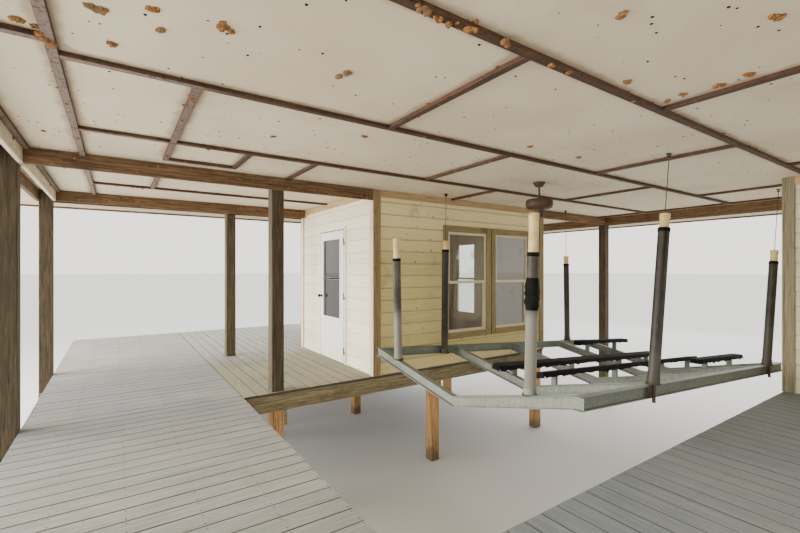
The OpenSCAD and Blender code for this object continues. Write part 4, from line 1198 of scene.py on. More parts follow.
def doorHardware():
    hardware = softened("door_hardware", "doorKnobAndLeaves", 0.0, darkMetal, body="door")
    hardware.data.materials.append(hingeSteel)
    leafLow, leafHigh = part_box("door_leaf")
    hingeY = (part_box("door_hinges")[0].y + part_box("door_hinges")[1].y) / 2
    for polygon in hardware.data.polygons:
        near = abs(polygon.center.y - hingeY) < (leafHigh.y - leafLow.y) / 2
        polygon.material_index = 1 if near else 0


doorHardware()
print("openings dressed")

# Ceiling: painted sheets with rust-brown haze along everything that is nailed to them
ceilingLook = {"grid": 0.065, "light": paint(232, 220, 192), "shade": paint(206, 190, 158),
               "haze": paint(164, 132, 98), "hazeReach": 0.045, "stain": paint(176, 154, 122)}


def makeCeilingSheets():
    tree, given, out = geometryGroup("ceilingSheets", {
        "Length": "Float", "Width": "Float", "Columns": "Int", "Rows": "Int", "Centre": "Vector",
        "Thickness": "Float", "Fixings": "Object", "Finish": "Material"})
    grid = addNode(tree, "GeometryNodeMeshGrid", {
        "Size X": given["Length"], "Size Y": given["Width"], "Vertices X": given["Columns"],
        "Vertices Y": given["Rows"]})
    low = addNode(tree, "GeometryNodeTransform", {"Geometry": grid.outputs[0],
                                                  "Translation": given["Centre"]}).outputs[0]
    fixings = shapeOf(tree, given["Fixings"])
    away = addNode(tree, "GeometryNodeProximity", {"Geometry": fixings}).outputs["Distance"]
    marked = addNode(tree, "GeometryNodeStoreNamedAttribute",
                     {"Geometry": low, "Name": "away", "Value": away}, data_type="FLOAT",
                     domain="POINT").outputs[0]
    up = addNode(tree, "ShaderNodeCombineXYZ", {2: 1.0}).outputs[0]
    thick = addNode(tree, "GeometryNodeExtrudeMesh", {
        "Mesh": marked, "Offset": up, "Offset Scale": given["Thickness"], "Individual": False})
    turned = addNode(tree, "GeometryNodeFlipFaces", {"Mesh": marked}).outputs[0]
    both = addNode(tree, "GeometryNodeJoinGeometry", {0: turned})
    join(tree, both.inputs[0], thick.outputs[0])
    merged = addNode(tree, "GeometryNodeMergeByDistance", {"Geometry": both.outputs[0], "Distance": 0.0005})
    closeTree(tree, out, merged.outputs[0], given["Finish"])
    return tree


def makeCeilingMaterial():
    material, tree, shader, place = startMaterial("ceilingPaint", 0.75)
    away = addNode(tree, "ShaderNodeAttribute", attribute_name="away").outputs["Fac"]
    drift = noiseOf(tree, place, 5.5, 5.0, 0.65)
    wobble = times(tree, minus(tree, drift, 0.42), ceilingLook["hazeReach"] * 2.6)
    near = rangeOf(tree, minus(tree, away, wobble), 0.0, ceilingLook["hazeReach"], 1.0, 0.0)
    aged = weathered(tree, place, 1.5, 0.5)
    small = weathered(tree, place, 0.4, 0.4)
    color = mixOf(tree, rangeOf(tree, noiseOf(tree, place, 0.9, 3.0), 0.35, 0.65), ceilingLook["light"],
                  ceilingLook["shade"])
    color = mixOf(tree, 0.5, color, ceilingLook["light"])
    color = coat(tree, color, aged["Stain"], 0.25, ceilingLook["stain"])
    color = coat(tree, color, near, 0.6, ceilingLook["haze"])
    color = coat(tree, color, small["Speck"], 0.7, paint(96, 72, 52))
    finish(tree, shader, color, noiseOf(tree, place, 28.0, 4.0), 0.08, 0.003)
    return material


ceilingPaint = makeCeilingMaterial()
ceilingSheets = makeCeilingSheets()


def hangCeiling():
    pile = Solids(1)
    for nodeName in ("ceiling_battens_long", "ceiling_battens_short", "row_beams", "end_beams"):
        for low, high, _ in islandsOf(nodeName):
            block(pile, low, high)
    fixings = helper("ceilingFixings", pile)
    size = ceilingHigh - ceilingLow
    centre = (ceilingLow + ceilingHigh) / 2
    made = grow("ceilingPanels", ceilingSheets, {
        "Length": size.x, "Width": size.y, "Columns": round(size.x / ceilingLook["grid"]),
        "Rows": round(size.y / ceilingLook["grid"]), "Centre": (centre.x, centre.y, ceilingLow.z),
        "Thickness": size.z, "Fixings": fixings, "Finish": ceilingPaint})
    faceOut(made)
    settle(made, "root", ["ceiling"])


hangCeiling()


# Eaves: fascia boards in lengths, and soffit panels
def eaves():
    thick, seam, chamfer = 0.019, 0.001, 0.002
    pile = Solids(51)
    low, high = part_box("fascia")
    for a, b in ((low.y, low.y + thick), (high.y - thick, high.y)):
        boardsInLine(pile, (low.x, a, low.z), (high.x, b, high.z), 3.7, seam, chamfer)
    for a, b in ((low.x, low.x + thick), (high.x - thick, high.x)):
        boardsInLine(pile, (a, low.y + thick, low.z), (b, high.y - thick, high.z), 3.7, seam, chamfer)
    pile.piece("fasciaBoards", timberSet("beamTimber"), "eave_paint", replaces=["fascia"])
    pile = Solids(52)
    low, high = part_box("eave_soffit")
    for a, b in ((low.y, ceilingLow.y - seam), (ceilingHigh.y + seam, high.y)):
        boardsInLine(pile, (low.x, a, low.z), (high.x, b, high.z), 1.22, seam, chamfer)
    for a, b in ((low.x, ceilingLow.x - seam), (ceilingHigh.x + seam, high.x)):
        boardsInLine(pile, (a, ceilingLow.y, low.z), (b, ceilingHigh.y, high.z), 1.22, seam, chamfer)
    pile.piece("soffitPanels", timberSet("eavePaint"), "eave_paint", replaces=["eave_soffit"])


eaves()

# Roof: boarding, shingles in courses, and caps on hips and ridge
roofLook = {"exposure": 0.142, "tab": 0.305, "lower": 0.012, "thick": 0.005, "slit": 0.003, "overlap": 1.35,
            "cut": 0.42, "cap": (0.125, 0.004, 0.2), "capSpacing": 0.14,
            "colors": (paint(72, 58, 48), paint(104, 86, 70), paint(138, 118, 98))}


def makeShingleMaterial():
    material, tree, shader, place = startMaterial("shingleGrit", 0.9)
    tone = toneAttribute(tree)
    dark, middle, light = roofLook["colors"]
    grit = noiseOf(tree, place, 260.0, 3.0, 0.8)
    mixed = plus(tree, times(tree, grit, 0.6), times(tree, tone, 0.4))
    color = rampOf(tree, mixed, [(0.3, dark), (0.5, middle), (0.72, light)])
    aged = weathered(tree, place, 2.4, 0.5)
    color = coat(tree, color, aged["Stain"], 0.4, paint(58, 56, 44))
    finish(tree, shader, color, grit, 0.3, 0.002)
    return material


shingleGrit = makeShingleMaterial()


# The roof's box, the height of its eave, half its span and its rise for each metre
def roofSlopes():
    low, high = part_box("roof")
    top, run = high.z, (high.y - low.y) / 2
    eave = max(v.co.z for v in nodes["roof"].data.vertices if abs(v.co.x - low.x) < 1e-4)
    return low, high, eave, run, (top - eave) / run


def roofBoarding():
    low, high, eave, _, pitch = roofSlopes()
    shape = mergedCopy("roof")
    for vert in shape.verts:
        inside = min(vert.co.x - low.x, high.x - vert.co.x, vert.co.y - low.y, high.y - vert.co.y)
        if abs(vert.co.z - (eave + inside * pitch)) < 2e-3:
            vert.co.z -= roofLook["lower"]
    plainPiece(shape, "roofBoarding", timberMaterial("framingTimber", alongX), ["roof"])


def roofShingles():
    low, high, eave, run, pitch = roofSlopes()
    slope = math.atan(pitch)
    exposure, tab, lower, thick = (roofLook[k] for k in ("exposure", "tab", "lower", "thick"))
    shape = Solids(61)
    half = tab / 2 - roofLook["slit"]
    block(shape, (-half, 0, 0), (half, exposure * roofLook["overlap"], thick))
    chance = random.Random(62)
    places, turns, tones = [], [], []
    cosine = math.cos(slope)
    lift = math.atan(thick * 1.2 / exposure)
    size = high - low
    sides = [((low.x, low.y), (1, 0), size.x, 0.0), ((high.x, low.y), (0, 1), size.y, 90.0),
             ((high.x, high.y), (-1, 0), size.x, 180.0), ((low.x, high.y), (0, -1), size.y, 270.0)]
    for (startX, startY), (runX, runY), width, turn in sides:
        inX, inY = -runY, runX
        rows = int(run / cosine / exposure)
        for row in range(rows):
            inward = row * exposure * cosine
            offset = (row % 2) * tab / 2
            count = int((width - 2 * inward) / tab) + 1
            for k in range(-1, count + 1):
                along = inward + offset + k * tab
                if along < inward + tab * roofLook["cut"] or along > width - inward - tab * roofLook["cut"]:
                    continue
                places.append((startX + runX * along + inX * inward, startY + runY * along + inY * inward,
                               eave + inward * pitch - lower + 0.0012 + thick * 0.2))
                turns.append((slope - lift, 0, math.radians(turn) + chance.uniform(-0.004, 0.004)))
                tones.append(chance.random())
    scattered("roofShingles", helper("shingleTab", shape), (0.995, 1.0), 4, shingleGrit,
              places, turns, tones)


# Caps that follow a path, each laid over the last
def makeCapRun():
    tree, given, out = geometryGroup("capRun", {"Cap": "Object", "Spacing": "Float", "Finish": "Material"})
    path = addNode(tree, "GeometryNodeMeshToCurve", {"Mesh": given["Geometry"]}).outputs[0]
    spaced = addNode(tree, "GeometryNodeCurveToPoints", {"Curve": path, "Length": given["Spacing"]},
                     mode="LENGTH")
    source = shapeOf(tree, given["Cap"])
    turn = addNode(tree, "FunctionNodeAxesToRotation", {"Primary Axis": spaced.outputs["Tangent"],
                                                        "Secondary Axis": (0.0, 0.0, 1.0)},
                   primary_axis="X", secondary_axis="Z").outputs[0]
    laid = addNode(tree, "GeometryNodeInstanceOnPoints", {
        "Points": spaced.outputs["Points"], "Instance": source, "Rotation": turn}).outputs[0]
    closeTree(tree, out, laid, given["Finish"])
    return tree


capRun = makeCapRun()


def roofCaps():
    low, high, eave, run, pitch = roofSlopes()
    wide, thick, long = roofLook["cap"]
    base = eave - 0.001
    top = base + run * pitch
    near, far = (low.x + run, low.y + run, top), (high.x - run, low.y + run, top)
    hips = [((low.x, low.y, base), near), ((low.x, high.y, base), near), ((high.x, low.y, base), far),
            ((high.x, high.y, base), far)]
    ridge = (near, (far[0] - 0.15, far[1], top))
    for name, paths, fold in (("hipCaps", hips, pitch * math.sqrt(0.5)), ("ridgeCaps", [ridge], pitch)):
        down = -wide * fold
        outline = [(-wide, down), (0, 0), (wide, down), (wide, down + thick), (0, thick),
                   (-wide, down + thick)]
        shape = Solids(63)
        shape.prism(outline, lambda p, q, s: (s, p, q - s * 0.02), -0.01, long)
        cap = helper(name + "Shape", shape)
        mesh = bpy.data.meshes.new(name + "Paths")
        lines = [(2 * k, 2 * k + 1) for k in range(len(paths))]
        mesh.from_pydata([p for path in paths for p in path], lines, [])
        given = {"Cap": cap, "Spacing": roofLook["capSpacing"], "Finish": shingleGrit}
        made = grow(name, capRun, given, mesh)
        settle(made, "root")


roofBoarding()
roofShingles()
roofCaps()
print("roof covered")

# Ceiling fan, rusted, without blades: ribs round the motor, a screwed iron for each lost blade, and a cap
fanLook = {"ribs": 24, "rib": (0.003, 0.004), "ribEnds": (0.012, 0.010), "irons": 5, "ironHalf": 0.017,
           "ironDrop": 0.012, "ironThick": 0.006, "chamfer": 0.0015,
           "screw": [(0, 0.004), (0.006, 0.003), (0.006, -0.002), (0, -0.002)],
           "cap": [(0, 0.012), (0.07, 0.010), (0.078, 0.0), (0.078, -0.004), (0, -0.004)], "capDrop": 0.016}
rustBrown = metalMaterial("rustBrown", paint(76, 56, 40), 0.6, 0.2, 0.4, 0.4)


def fanDetails():
    softened("ceiling_fan", "fanBody", 0.0, rustBrown, sharp=40)
    low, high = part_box("ceiling_fan")
    centre = (low + high) / 2
    radius = (high.x - low.x) / 2
    zs = sorted({round(v.co.z, 3) for v in nodes["ceiling_fan"].data.vertices
                 if math.hypot(v.co.x - centre.x, v.co.y - centre.y) > radius - 0.002})
    motorLow, motorHigh = zs[0], zs[-1]

    def turned(angle):
        return Matrix.Translation((centre.x, centre.y, 0)) @ Matrix.Rotation(angle, 4, "Z")

    pile, chamfer = Solids(71), fanLook["chamfer"]
    deep, half = fanLook["rib"]
    above, below = fanLook["ribEnds"]
    for k in range(fanLook["ribs"]):
        pile.board((radius - deep, -half, motorLow + above), (radius + deep, half, motorHigh - below),
                   chamfer, slot=0, turn=turned(2 * math.pi * k / fanLook["ribs"]))
    half, z = fanLook["ironHalf"], motorLow - fanLook["ironDrop"]
    for k in range(fanLook["irons"]):
        turn = turned(2 * math.pi * (k + 0.3) / fanLook["irons"])
        pile.board((radius * 0.45, -half, z), (radius - 0.008, half, z + fanLook["ironThick"]), chamfer,
                   slot=0, turn=turn)
        pile.lathe(fanLook["screw"], turn @ Vector((radius * 0.8, 0, z)), (0, 0, -1), 8)
    pile.lathe(fanLook["cap"], (centre.x, centre.y, motorLow - fanLook["capDrop"]), sides=28)
    pile.piece("fanParts", [rustBrown], "rusty_metal")


fanDetails()

# Boat lift
liftLook = {"steel": paint(104, 110, 102), "light": paint(138, 144, 134), "dark": paint(76, 78, 66),
            "rust": paint(124, 92, 54)}


def makeLiftSteel():
    material, tree, shader, place = startMaterial("liftSteel", 0.6, Metallic=0.25)
    aged = weathered(tree, place, 0.5, 0.8)
    broad = weathered(tree, moved(tree, place, (5.0, 2.0, 1.0)), 1.1, 0.7)
    cover = rusted(tree, place, 0.28)
    fine = noiseOf(tree, place, 45.0, 6.0, 0.7)
    color = mixOf(tree, rangeOf(tree, fine, 0.3, 0.7), liftLook["steel"], liftLook["light"])
    color = coat(tree, color, aged["Run"], 0.4, liftLook["dark"])
    color = coat(tree, color, broad["Stain"], 0.3, liftLook["dark"])
    color = coat(tree, color, cover["Rust"], 0.7, liftLook["rust"])
    # Faces that look up are painted lighter, a painted sky light
    color = coat(tree, color, rangeOf(tree, facingUp(tree), 0.6, 0.95), 0.35, liftLook["light"])
    join(tree, shader.inputs["Roughness"], rangeOf(tree, fine, 0.2, 0.8, 0.45, 0.75))
    finish(tree, shader, color, fine, 0.15, 0.001)
    return material


liftSteel = makeLiftSteel()
softened("lift_side_beams", "liftSideBeams", 0.0015, liftSteel, body="lift", sharp=9)
softened("lift_cross_members", "liftCrossMembers", 0.0015, liftSteel, body="lift", sharp=9)
softened("bunk_brackets", "bunkBrackets", 0.001, liftSteel, body="lift", sharp=9)

# Carpet on the bunks
carpetLook = {"dark": paint(10, 9, 10), "light": paint(26, 24, 25), "dust": paint(40, 36, 33),
              "corner": 0.013, "step": 0.03, "hem": 0.004, "endHang": (0.018, 0.022),
              "sideHang": (0.01, 0.045)}


def makeCarpet():
    material, tree, shader, place = startMaterial("bunkCarpet", 0.95, **{
        "Specular IOR Level": 0.12, "Sheen Weight": 0.04, "Sheen Roughness": 0.6})
    nap = noiseOf(tree, place, 420.0, 3.0, 0.8)
    wave = noiseOf(tree, place, 11.0, 4.0, 0.6)
    color = mixOf(tree, rangeOf(tree, nap, 0.3, 0.7), carpetLook["dark"], carpetLook["light"])
    color = mixOf(tree, rangeOf(tree, wave, 0.5, 0.72, 0.0, 0.4), color, carpetLook["dust"])
    finish(tree, shader, color, plus(tree, times(tree, nap, 0.5), wave), 0.7, 0.004)
    return material


bunkCarpet = makeCarpet()


# A rotated box from its eight corners: its origin and its three edges, the longest first
def boxFrame(group):
    corners = []
    for p in group:
        if all((p - c).length > 1e-4 for c in corners):
            corners.append(p)
    origin = min(corners, key=lambda p: p.x + 0.3 * p.y + 0.1 * p.z)
    others = sorted((c - origin for c in corners if (c - origin).length > 1e-4), key=lambda v: v.length)
    edges = [others[0]]
    for v in others[1:]:
        if all(abs(v.normalized().dot(e.normalized())) < 0.02 for e in edges):
            edges.append(v)
    return origin, sorted(edges[:3], key=lambda v: -v.length)


# A ragged edge of carpet that hangs below a bunk
def hangCarpet(pile, edge, up, out, least, more, seed):
    flap = []
    for k, point in enumerate(edge):
        drop = least + more * abs(noise.noise(Vector((k * 0.37 + seed, 3.0, 1.0))))
        flap += [point, point - up * drop + out * noise.noise(Vector((k * 0.9, seed, 2.0)))]
    m = len(flap)
    faces = [[k, k + 2, k + 3, k + 1] for k in range(0, m - 2, 2)]
    faces += [[m + i for i in face[::-1]] for face in faces]
    rim = list(range(0, m, 2)) + list(range(m - 1, 0, -2))
    faces += [[rim[i], m + rim[i], m + rim[(i + 1) % m], rim[(i + 1) % m]] for i in range(m)]
    pile.add(flap + [point - out for point in flap], faces, 0, None, False)


# Carpet wrapped round each bunk, folded in at the ends
def carpetBunks():
    pile = Solids(81)
    chance = random.Random(82)
    for _, _, group in islandsOf("lift_bunks"):
        origin, edges = boxFrame(group)
        centre = origin + sum(edges, Vector()) / 2
        along, side, up = edges
        length, width, thick = along.length, side.length, up.length
        along, side = along.normalized(), side.normalized()
        up = along.cross(side)
        if up.z < 0:
            side, up = -side, -up
        if along.x < 0:
            along, side = -along, -side
        curve, count = carpetLook["corner"], 5
        ring = []
        for cx, cz, start in ((1, 1, 0), (-1, 1, 90), (-1, -1, 180), (1, -1, 270)):
            for k in range(count):
                angle = math.radians(start + 90 * k / (count - 1))
                ring.append((cx * (width / 2 - curve) + curve * math.cos(angle),
                             cz * (thick / 2 - curve) + curve * math.sin(angle)))
            if cx == cz:
                for share in (0.6, 0.2, -0.2, -0.6):
                    ring.append((cz * share * (width / 2 - curve), cz * thick / 2))
        steps = int(length / carpetLook["step"])
        points, faces = [], []
        seed = chance.uniform(0, 50)
        for k in range(steps + 1):
            s = -length / 2 + length * k / steps
            end = min(k, steps - k)
            pinch = {0: 0.80, 1: 0.95}.get(end, 1.0)
            for p, q in ring:
                bulge = 0.0016 * noise.noise(Vector((s * 9 + seed, p * 30, q * 30)))
                inward = 1 - 0.03 * (1 + noise.noise(Vector((s * 4 + seed, p * 12, q * 20 + 9))))
                edge = 0.0 if end > 2 else 0.004 * noise.noise(Vector((p * 40, q * 60, seed)))
                points.append(centre + along * (s * 0.999 + edge) + side * p * pinch * inward
                              + up * (q * pinch + bulge - 0.0016))
        n = len(ring)
        for k in range(steps):
            for j in range(n):
                faces.append([k * n + j, k * n + (j + 1) % n, (k + 1) * n + (j + 1) % n, (k + 1) * n + j])
        faces += [list(range(n))[::-1], list(range(steps * n, steps * n + n))]
        pile.add(points, faces, 0, None, True)
        for sign in (-1, 1):
            edge = [centre + along * sign * (length / 2 - 0.006) + side * (k / 8 - 0.5) * width * 0.86
                    - up * (thick / 2 - 0.004) for k in range(9)]
            hem = sign * carpetLook["hem"]
            hangCarpet(pile, edge, up, along * hem, *carpetLook["endHang"], seed + sign)
            edge = [centre + side * sign * (width / 2 - 0.007) + along * (k / 60 - 0.5) * length * 0.985
                    - up * (thick / 2 - 0.006) for k in range(61)]
            hangCarpet(pile, edge, up, side * hem, *carpetLook["sideHang"], seed + 2 * sign)
    pile.piece("bunkCarpets", [bunkCarpet], "bunk_carpet", body="lift", replaces=["lift_bunks"])


carpetBunks()


def plasticMaterial(name, light, dark, stain, amount, speck, roughness=0.55, lower=None, split=0.0):
    material, tree, shader, place = startMaterial(name, roughness)
    aged = weathered(tree, place, 0.35, amount)
    fine = weathered(tree, moved(tree, place, (1.0, 4.0, 2.0)), 0.22, 0.5)
    cloud = noiseOf(tree, place, 7.0, 5.0, 0.65)
    color = mixOf(tree, rangeOf(tree, cloud, 0.35, 0.68), light, dark)
    if lower:
        # The sheath has worn pale below this height, with a ragged edge
        height = plus(tree, partsOf(tree, place)[2], times(tree, cloud, 0.16))
        color = mixOf(tree, rangeOf(tree, height, split, split + 0.16, 1.0, 0.0), color, lower)
    color = coat(tree, color, aged["Stain"], amount, stain)
    color = coat(tree, color, aged["Run"], 0.35, stain)
    color = coat(tree, color, fine["Speck"], speck, paint(60, 52, 40))
    finish(tree, shader, color, noiseOf(tree, place, 90.0, 4.0), 0.08, 0.001)
    return material


guidePlastic = plasticMaterial("guidePlastic", paint(238, 210, 150), paint(208, 176, 112), paint(138, 92, 48),
                               0.5, 0.8)
# Sheaths: two at the slip's closed end, the one beside the cabin, and the near and lake ones
sleeveLook = {"closedCabin": (paint(86, 84, 72), paint(54, 52, 44), paint(130, 130, 120), 2.21),
              "closedNear": (paint(74, 69, 54), paint(48, 44, 34), paint(132, 131, 121), 2.4),
              "besideCabin": (paint(40, 38, 28), paint(26, 25, 18), paint(58, 58, 46), 1.85),
              "charcoal": (paint(54, 50, 38), paint(34, 31, 24), paint(64, 63, 54), 2.05)}
sleevePlastics = [plasticMaterial(name, light, dark, paint(96, 94, 74), 0.35, 0.3, lower=lower, split=split)
                  for name, (light, dark, lower, split) in sleeveLook.items()]
footIron = metalMaterial("footIron", paint(74, 66, 56), 0.6, 0.4, 0.4, 0.3)
softened("guide_pipes", "guidePipes", 0.0012, guidePlastic, body="lift", sharp=40)
softened("guide_feet", "guideFeet", 0.0015, footIron, body="lift", sharp=40)


def guideSleeves():
    sleeves = softened("guide_sleeves", "guideSleeves", 0.0, sleevePlastics[0], body="lift",
                       sharp=40)
    mesh = sleeves.data
    for material in sleevePlastics[1:]:
        mesh.materials.append(material)
    firstX = min(low.x for low, _, _ in islandsOf("guide_sleeves"))
    middle = (cabinLow.y + sideHigh.y) / 2
    for polygon in mesh.polygons:
        centre = polygon.center
        if centre.x < firstX + 0.4:
            polygon.material_index = 0 if centre.y > middle else 1
        else:
            polygon.material_index = 2 if centre.x < firstX + 2.0 and centre.y > middle else 3
    return firstX, middle


firstSleeveX, slipMiddle = guideSleeves()
blackTape = plasticMaterial("blackTape", paint(16, 16, 15), paint(10, 10, 10), paint(48, 45, 38), 0.3, 0.2,
                            0.75)
blackTape.node_tree.nodes["Principled BSDF"].inputs["Specular IOR Level"].default_value = 0.15


def axisOf(group):
    low, high = min(p.z for p in group), max(p.z for p in group)
    foot = [p for p in group if p.z < low + 0.06]
    head = [p for p in group if p.z > high - 0.06]
    return sum(foot, Vector()) / len(foot), sum(head, Vector()) / len(head)


# A thick lump of tape wound round one sheath, and a band at the head of each
tapeLook = {"start": 0.64, "end": 0.9, "rings": 14, "sides": 20, "bulge": 0.021, "sheath": 0.046,
            "band": 0.03}


def tapeLump(pile, foot, up, radius):
    turn = Vector((0, 0, 1)).rotation_difference(up).to_matrix()
    rings, sides = tapeLook["rings"], tapeLook["sides"]
    points, faces = [], []
    for row in range(rings + 1):
        share = row / rings
        height = tapeLook["start"] + (tapeLook["end"] - tapeLook["start"]) * share
        for k in range(sides):
            angle = 2 * math.pi * k / sides
            away = Vector((math.cos(angle), math.sin(angle), 0))
            lumpy = 0.55 + 0.9 * noise.noise(Vector((away.x * 1.3, away.y * 1.3, share * 6 + 4)))
            fold = 0.12 * math.sin(share * 26 + 2 * away.y)
            bulge = tapeLook["bulge"] * max(0.0, math.sin(math.pi * share)) * max(0.1, lumpy + fold)
            points.append(foot + up * height + turn @ away * (radius + 0.001 + bulge))
    for row in range(rings):
        for k in range(sides):
            a, b = row * sides + k, row * sides + (k + 1) % sides
            faces.append([a, b, b + sides, a + sides])
    faces += [list(range(sides))[::-1], list(range(rings * sides, (rings + 1) * sides))]
    pile.add(points, faces, 0, 0.5, True)


def guideWraps():
    pile, radius, band = Solids(91), tapeLook["sheath"], tapeLook["band"]
    for _, _, group in islandsOf("guide_sleeves"):
        foot, head = axisOf(group)
        up = (head - foot).normalized()
        pile.lathe([(0, 0.0), (radius + 0.0015, 0.0), (radius + 0.003, 0.004), (radius + 0.003, band),
                    (radius + 0.0015, band + 0.004), (0, band + 0.004)], head - up * band, up, 32)
        if foot.x < firstSleeveX + 0.4 and foot.y < slipMiddle:
            tapeLump(pile, foot, up, radius)
    pile.piece("guideWraps", [blackTape], "sleeve_plastic", body="lift")


guideWraps()

# Wire ropes, twisted along their paths
ropeLook = {"radius": 0.004, "lobes": 6, "lay": 0.055, "step": 0.011, "lakeFrom": 1.2}


def makeWireRope():
    tree, given, out = geometryGroup("wireRope", {"Profile": "Object", "Step": "Float", "Lay": "Float",
                                                  "Finish": "Material"})
    path = addNode(tree, "GeometryNodeMeshToCurve", {"Mesh": given["Geometry"]}).outputs[0]
    fine = addNode(tree, "GeometryNodeResampleCurve", {"Curve": path, "Length": given["Step"]},
                   mode="LENGTH").outputs[0]
    along = addNode(tree, "GeometryNodeSplineParameter").outputs["Length"]
    tilt = times(tree, mathOf(tree, "DIVIDE", along, given["Lay"]), 2 * math.pi)
    twisted = addNode(tree, "GeometryNodeSetCurveTilt", {"Curve": fine, "Tilt": tilt}).outputs[0]
    ring = shapeOf(tree, given["Profile"])
    ringCurve = addNode(tree, "GeometryNodeMeshToCurve", {"Mesh": ring}).outputs[0]
    rope = addNode(tree, "GeometryNodeCurveToMesh", {"Curve": twisted, "Profile Curve": ringCurve,
                                                     "Fill Caps": True}).outputs[0]
    closeTree(tree, out, rope, given["Finish"])
    return tree


wireRope = makeWireRope()


def makeRopeSteel():
    material, tree, shader, place = startMaterial("ropeSteel", 0.5, Metallic=0.7)
    cover = rusted(tree, place, 0.6)
    color = coat(tree, paint(92, 88, 82), cover["Rust"], 0.7, cover["Color"])
    finish(tree, shader, color, noiseOf(tree, place, 300.0), 0.2, 0.001)
    return material


ropeSteel = makeRopeSteel()


def liftRopes():
    sides = 36
    mesh = bpy.data.meshes.new("ropeRing")
    ring = []
    for k in range(sides):
        angle = 2 * math.pi * k / sides
        radius = ropeLook["radius"] * (0.9 + 0.1 * abs(math.cos(angle * ropeLook["lobes"] / 2)))
        ring.append((radius * math.cos(angle), radius * math.sin(angle), 0))
    mesh.from_pydata(ring, [(k, (k + 1) % sides) for k in range(sides)], [])
    profile = hide(linkObject("ropeRing", mesh))
    names = ["ropeFirstNear", "ropeFirstCabin", "ropeLakeNear", "ropeLakeCabin"]
    ropes = sorted(islandsOf("lift_cables"), key=lambda one: (one[0].x > ropeLook["lakeFrom"], one[0].y))
    tops = [axisOf(group)[1] for _, _, group in islandsOf("guide_pipes")]
    for name, (_, high, group) in zip(names, ropes):
        foot, head = axisOf(group)
        line = (head - foot).normalized()
        foot, head = foot + line * 0.01, foot + line * ((high.z - 0.002 - foot.z) / line.z)
        path = bpy.data.meshes.new(name + "Path")
        path.from_pydata([head, foot], [(0, 1)], [])
        rope = grow(name, wireRope, {"Profile": profile, "Step": ropeLook["step"], "Lay": ropeLook["lay"],
                                     "Finish": ropeSteel}, path)
        faceOut(rope)
        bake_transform(rope)
        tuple(head)
        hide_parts("lift_cables")


liftRopes()


# Hooks and eyes at the ceiling: a screwed plate, two cheeks, and a pin that carries a collar
hookLook = {"plate": 0.008, "cheek": (0.012, 0.002), "cheekApart": 0.009, "screwApart": 0.021,
            "screw": [(0, 0.004), (0.0055, 0.0035), (0.0065, 0.0), (0, 0.0)],
            "pin": [(0, 0.014), (0.006, 0.014), (0.006, -0.014), (0, -0.014)], "pinUp": 0.014,
            "collar": [(0, 0.006), (0.009, 0.006), (0.009, -0.006), (0, -0.006)], "collarUp": 0.008}


def cableFittings():
    pile = Solids(95)
    wide, thick = hookLook["cheek"]
    for low, high, _ in islandsOf("cable_hooks"):
        x, y, _ = (low + high) / 2
        under = high.z - hookLook["plate"]
        pile.board((low.x, low.y, under), (high.x, high.y, high.z), 0.0015, slot=0)
        for sign in (-1, 1):
            cheek = y + sign * hookLook["cheekApart"]
            pile.board((x - wide, cheek - thick, low.z + 0.004), (x + wide, cheek + thick, high.z - 0.007),
                       0.001, slot=0)
            pile.lathe(hookLook["screw"], (x + sign * hookLook["screwApart"], y, under), (0, 0, -1), 6,
                       smooth=False)
        pile.lathe(hookLook["pin"], (x, y, low.z + hookLook["pinUp"]), (0, 1, 0), 12)
        pile.lathe(hookLook["collar"], (x, y, low.z + hookLook["collarUp"]), sides=12)
    pile.piece("cableFittings", [darkMetal], "dark_metal", replaces=["cable_hooks"])


cableFittings()
print("lift dressed")

# Nests of mud and small dark spots on the ceiling, by where they stand in the photograph
mudNests = {
    "bigPixel": (226, 27), "bigSize": 1.3,
    "smallPixels": [
        (88, 5), (101, 11), (150, 8), (156, 28), (112, 43), (17, 19), (37, 32), (273, 136), (363, 136),
        (339, 76), (347, 72), (43, 131), (420, 8), (437, 18), (428, 12), (452, 24), (473, 29), (505, 43),
        (550, 65), (622, 13), (777, 16), (627, 82), (750, 74), (719, 85), (681, 94), (668, 101), (530, 146),
        (578, 157), (44, 38), (52, 44)],
    "dabs": 620, "underside": 0.4, "dabsOnBeams": 11, "nearSide": 0.75, "spots": 1100, "seed": 101,
    "radius": 0.017}


def ceilingSpot(pixel, height):
    turn = math.radians(view["turn"])
    right = Vector((math.cos(turn), math.sin(turn), 0))
    ahead = Vector((-math.sin(turn), math.cos(turn), 0))
    across = (pixel[0] - view["imageWidth"] / 2) / view["focalPixels"]
    up = (view["imageHeight"] / 2 + view["horizonBelowMiddle"] - pixel[1]) / view["focalPixels"]
    ray = ahead + right * across + Vector((0, 0, up))
    eye = Vector(view["eye"])
    return eye + ray * ((height - eye.z) / ray.z)


def makeMud():
    material, tree, shader, place = startMaterial("driedMud", 0.95)
    grain = noiseOf(tree, place, 75.0, 5.0, 0.75)
    color = rampOf(tree, grain, [(0.34, paint(70, 43, 22)), (0.5, paint(154, 98, 50)),
                                 (0.66, paint(204, 152, 92))])
    dusty = rangeOf(tree, noiseOf(tree, place, 4.0, 2.0), 0.46, 0.6, 0.0, 0.75)
    color = mixOf(tree, dusty, color, paint(128, 104, 68))
    finish(tree, shader, color, grain, 0.8, 0.006)
    return material


driedMud = makeMud()


def lumpOf(name, fineness, bumps):
    lump = bmesh.new()
    bmesh.ops.create_icosphere(lump, subdivisions=fineness, radius=1.0)
    for vert in lump.verts:
        bumpy = 1 + bumps * noise.noise(vert.co * 2.7)
        vert.co = Vector((vert.co.x * 1.2, vert.co.y * 0.9, min(vert.co.z, 0.15) * 0.8)) * bumpy
        vert.co *= mudNests["radius"]
    return hide(linkObject(name, meshFrom(lump, name)))


def coveredBy(x, y, low, high, room=0.05):
    return low.x - room < x < high.x + room and low.y - room < y < high.y + room


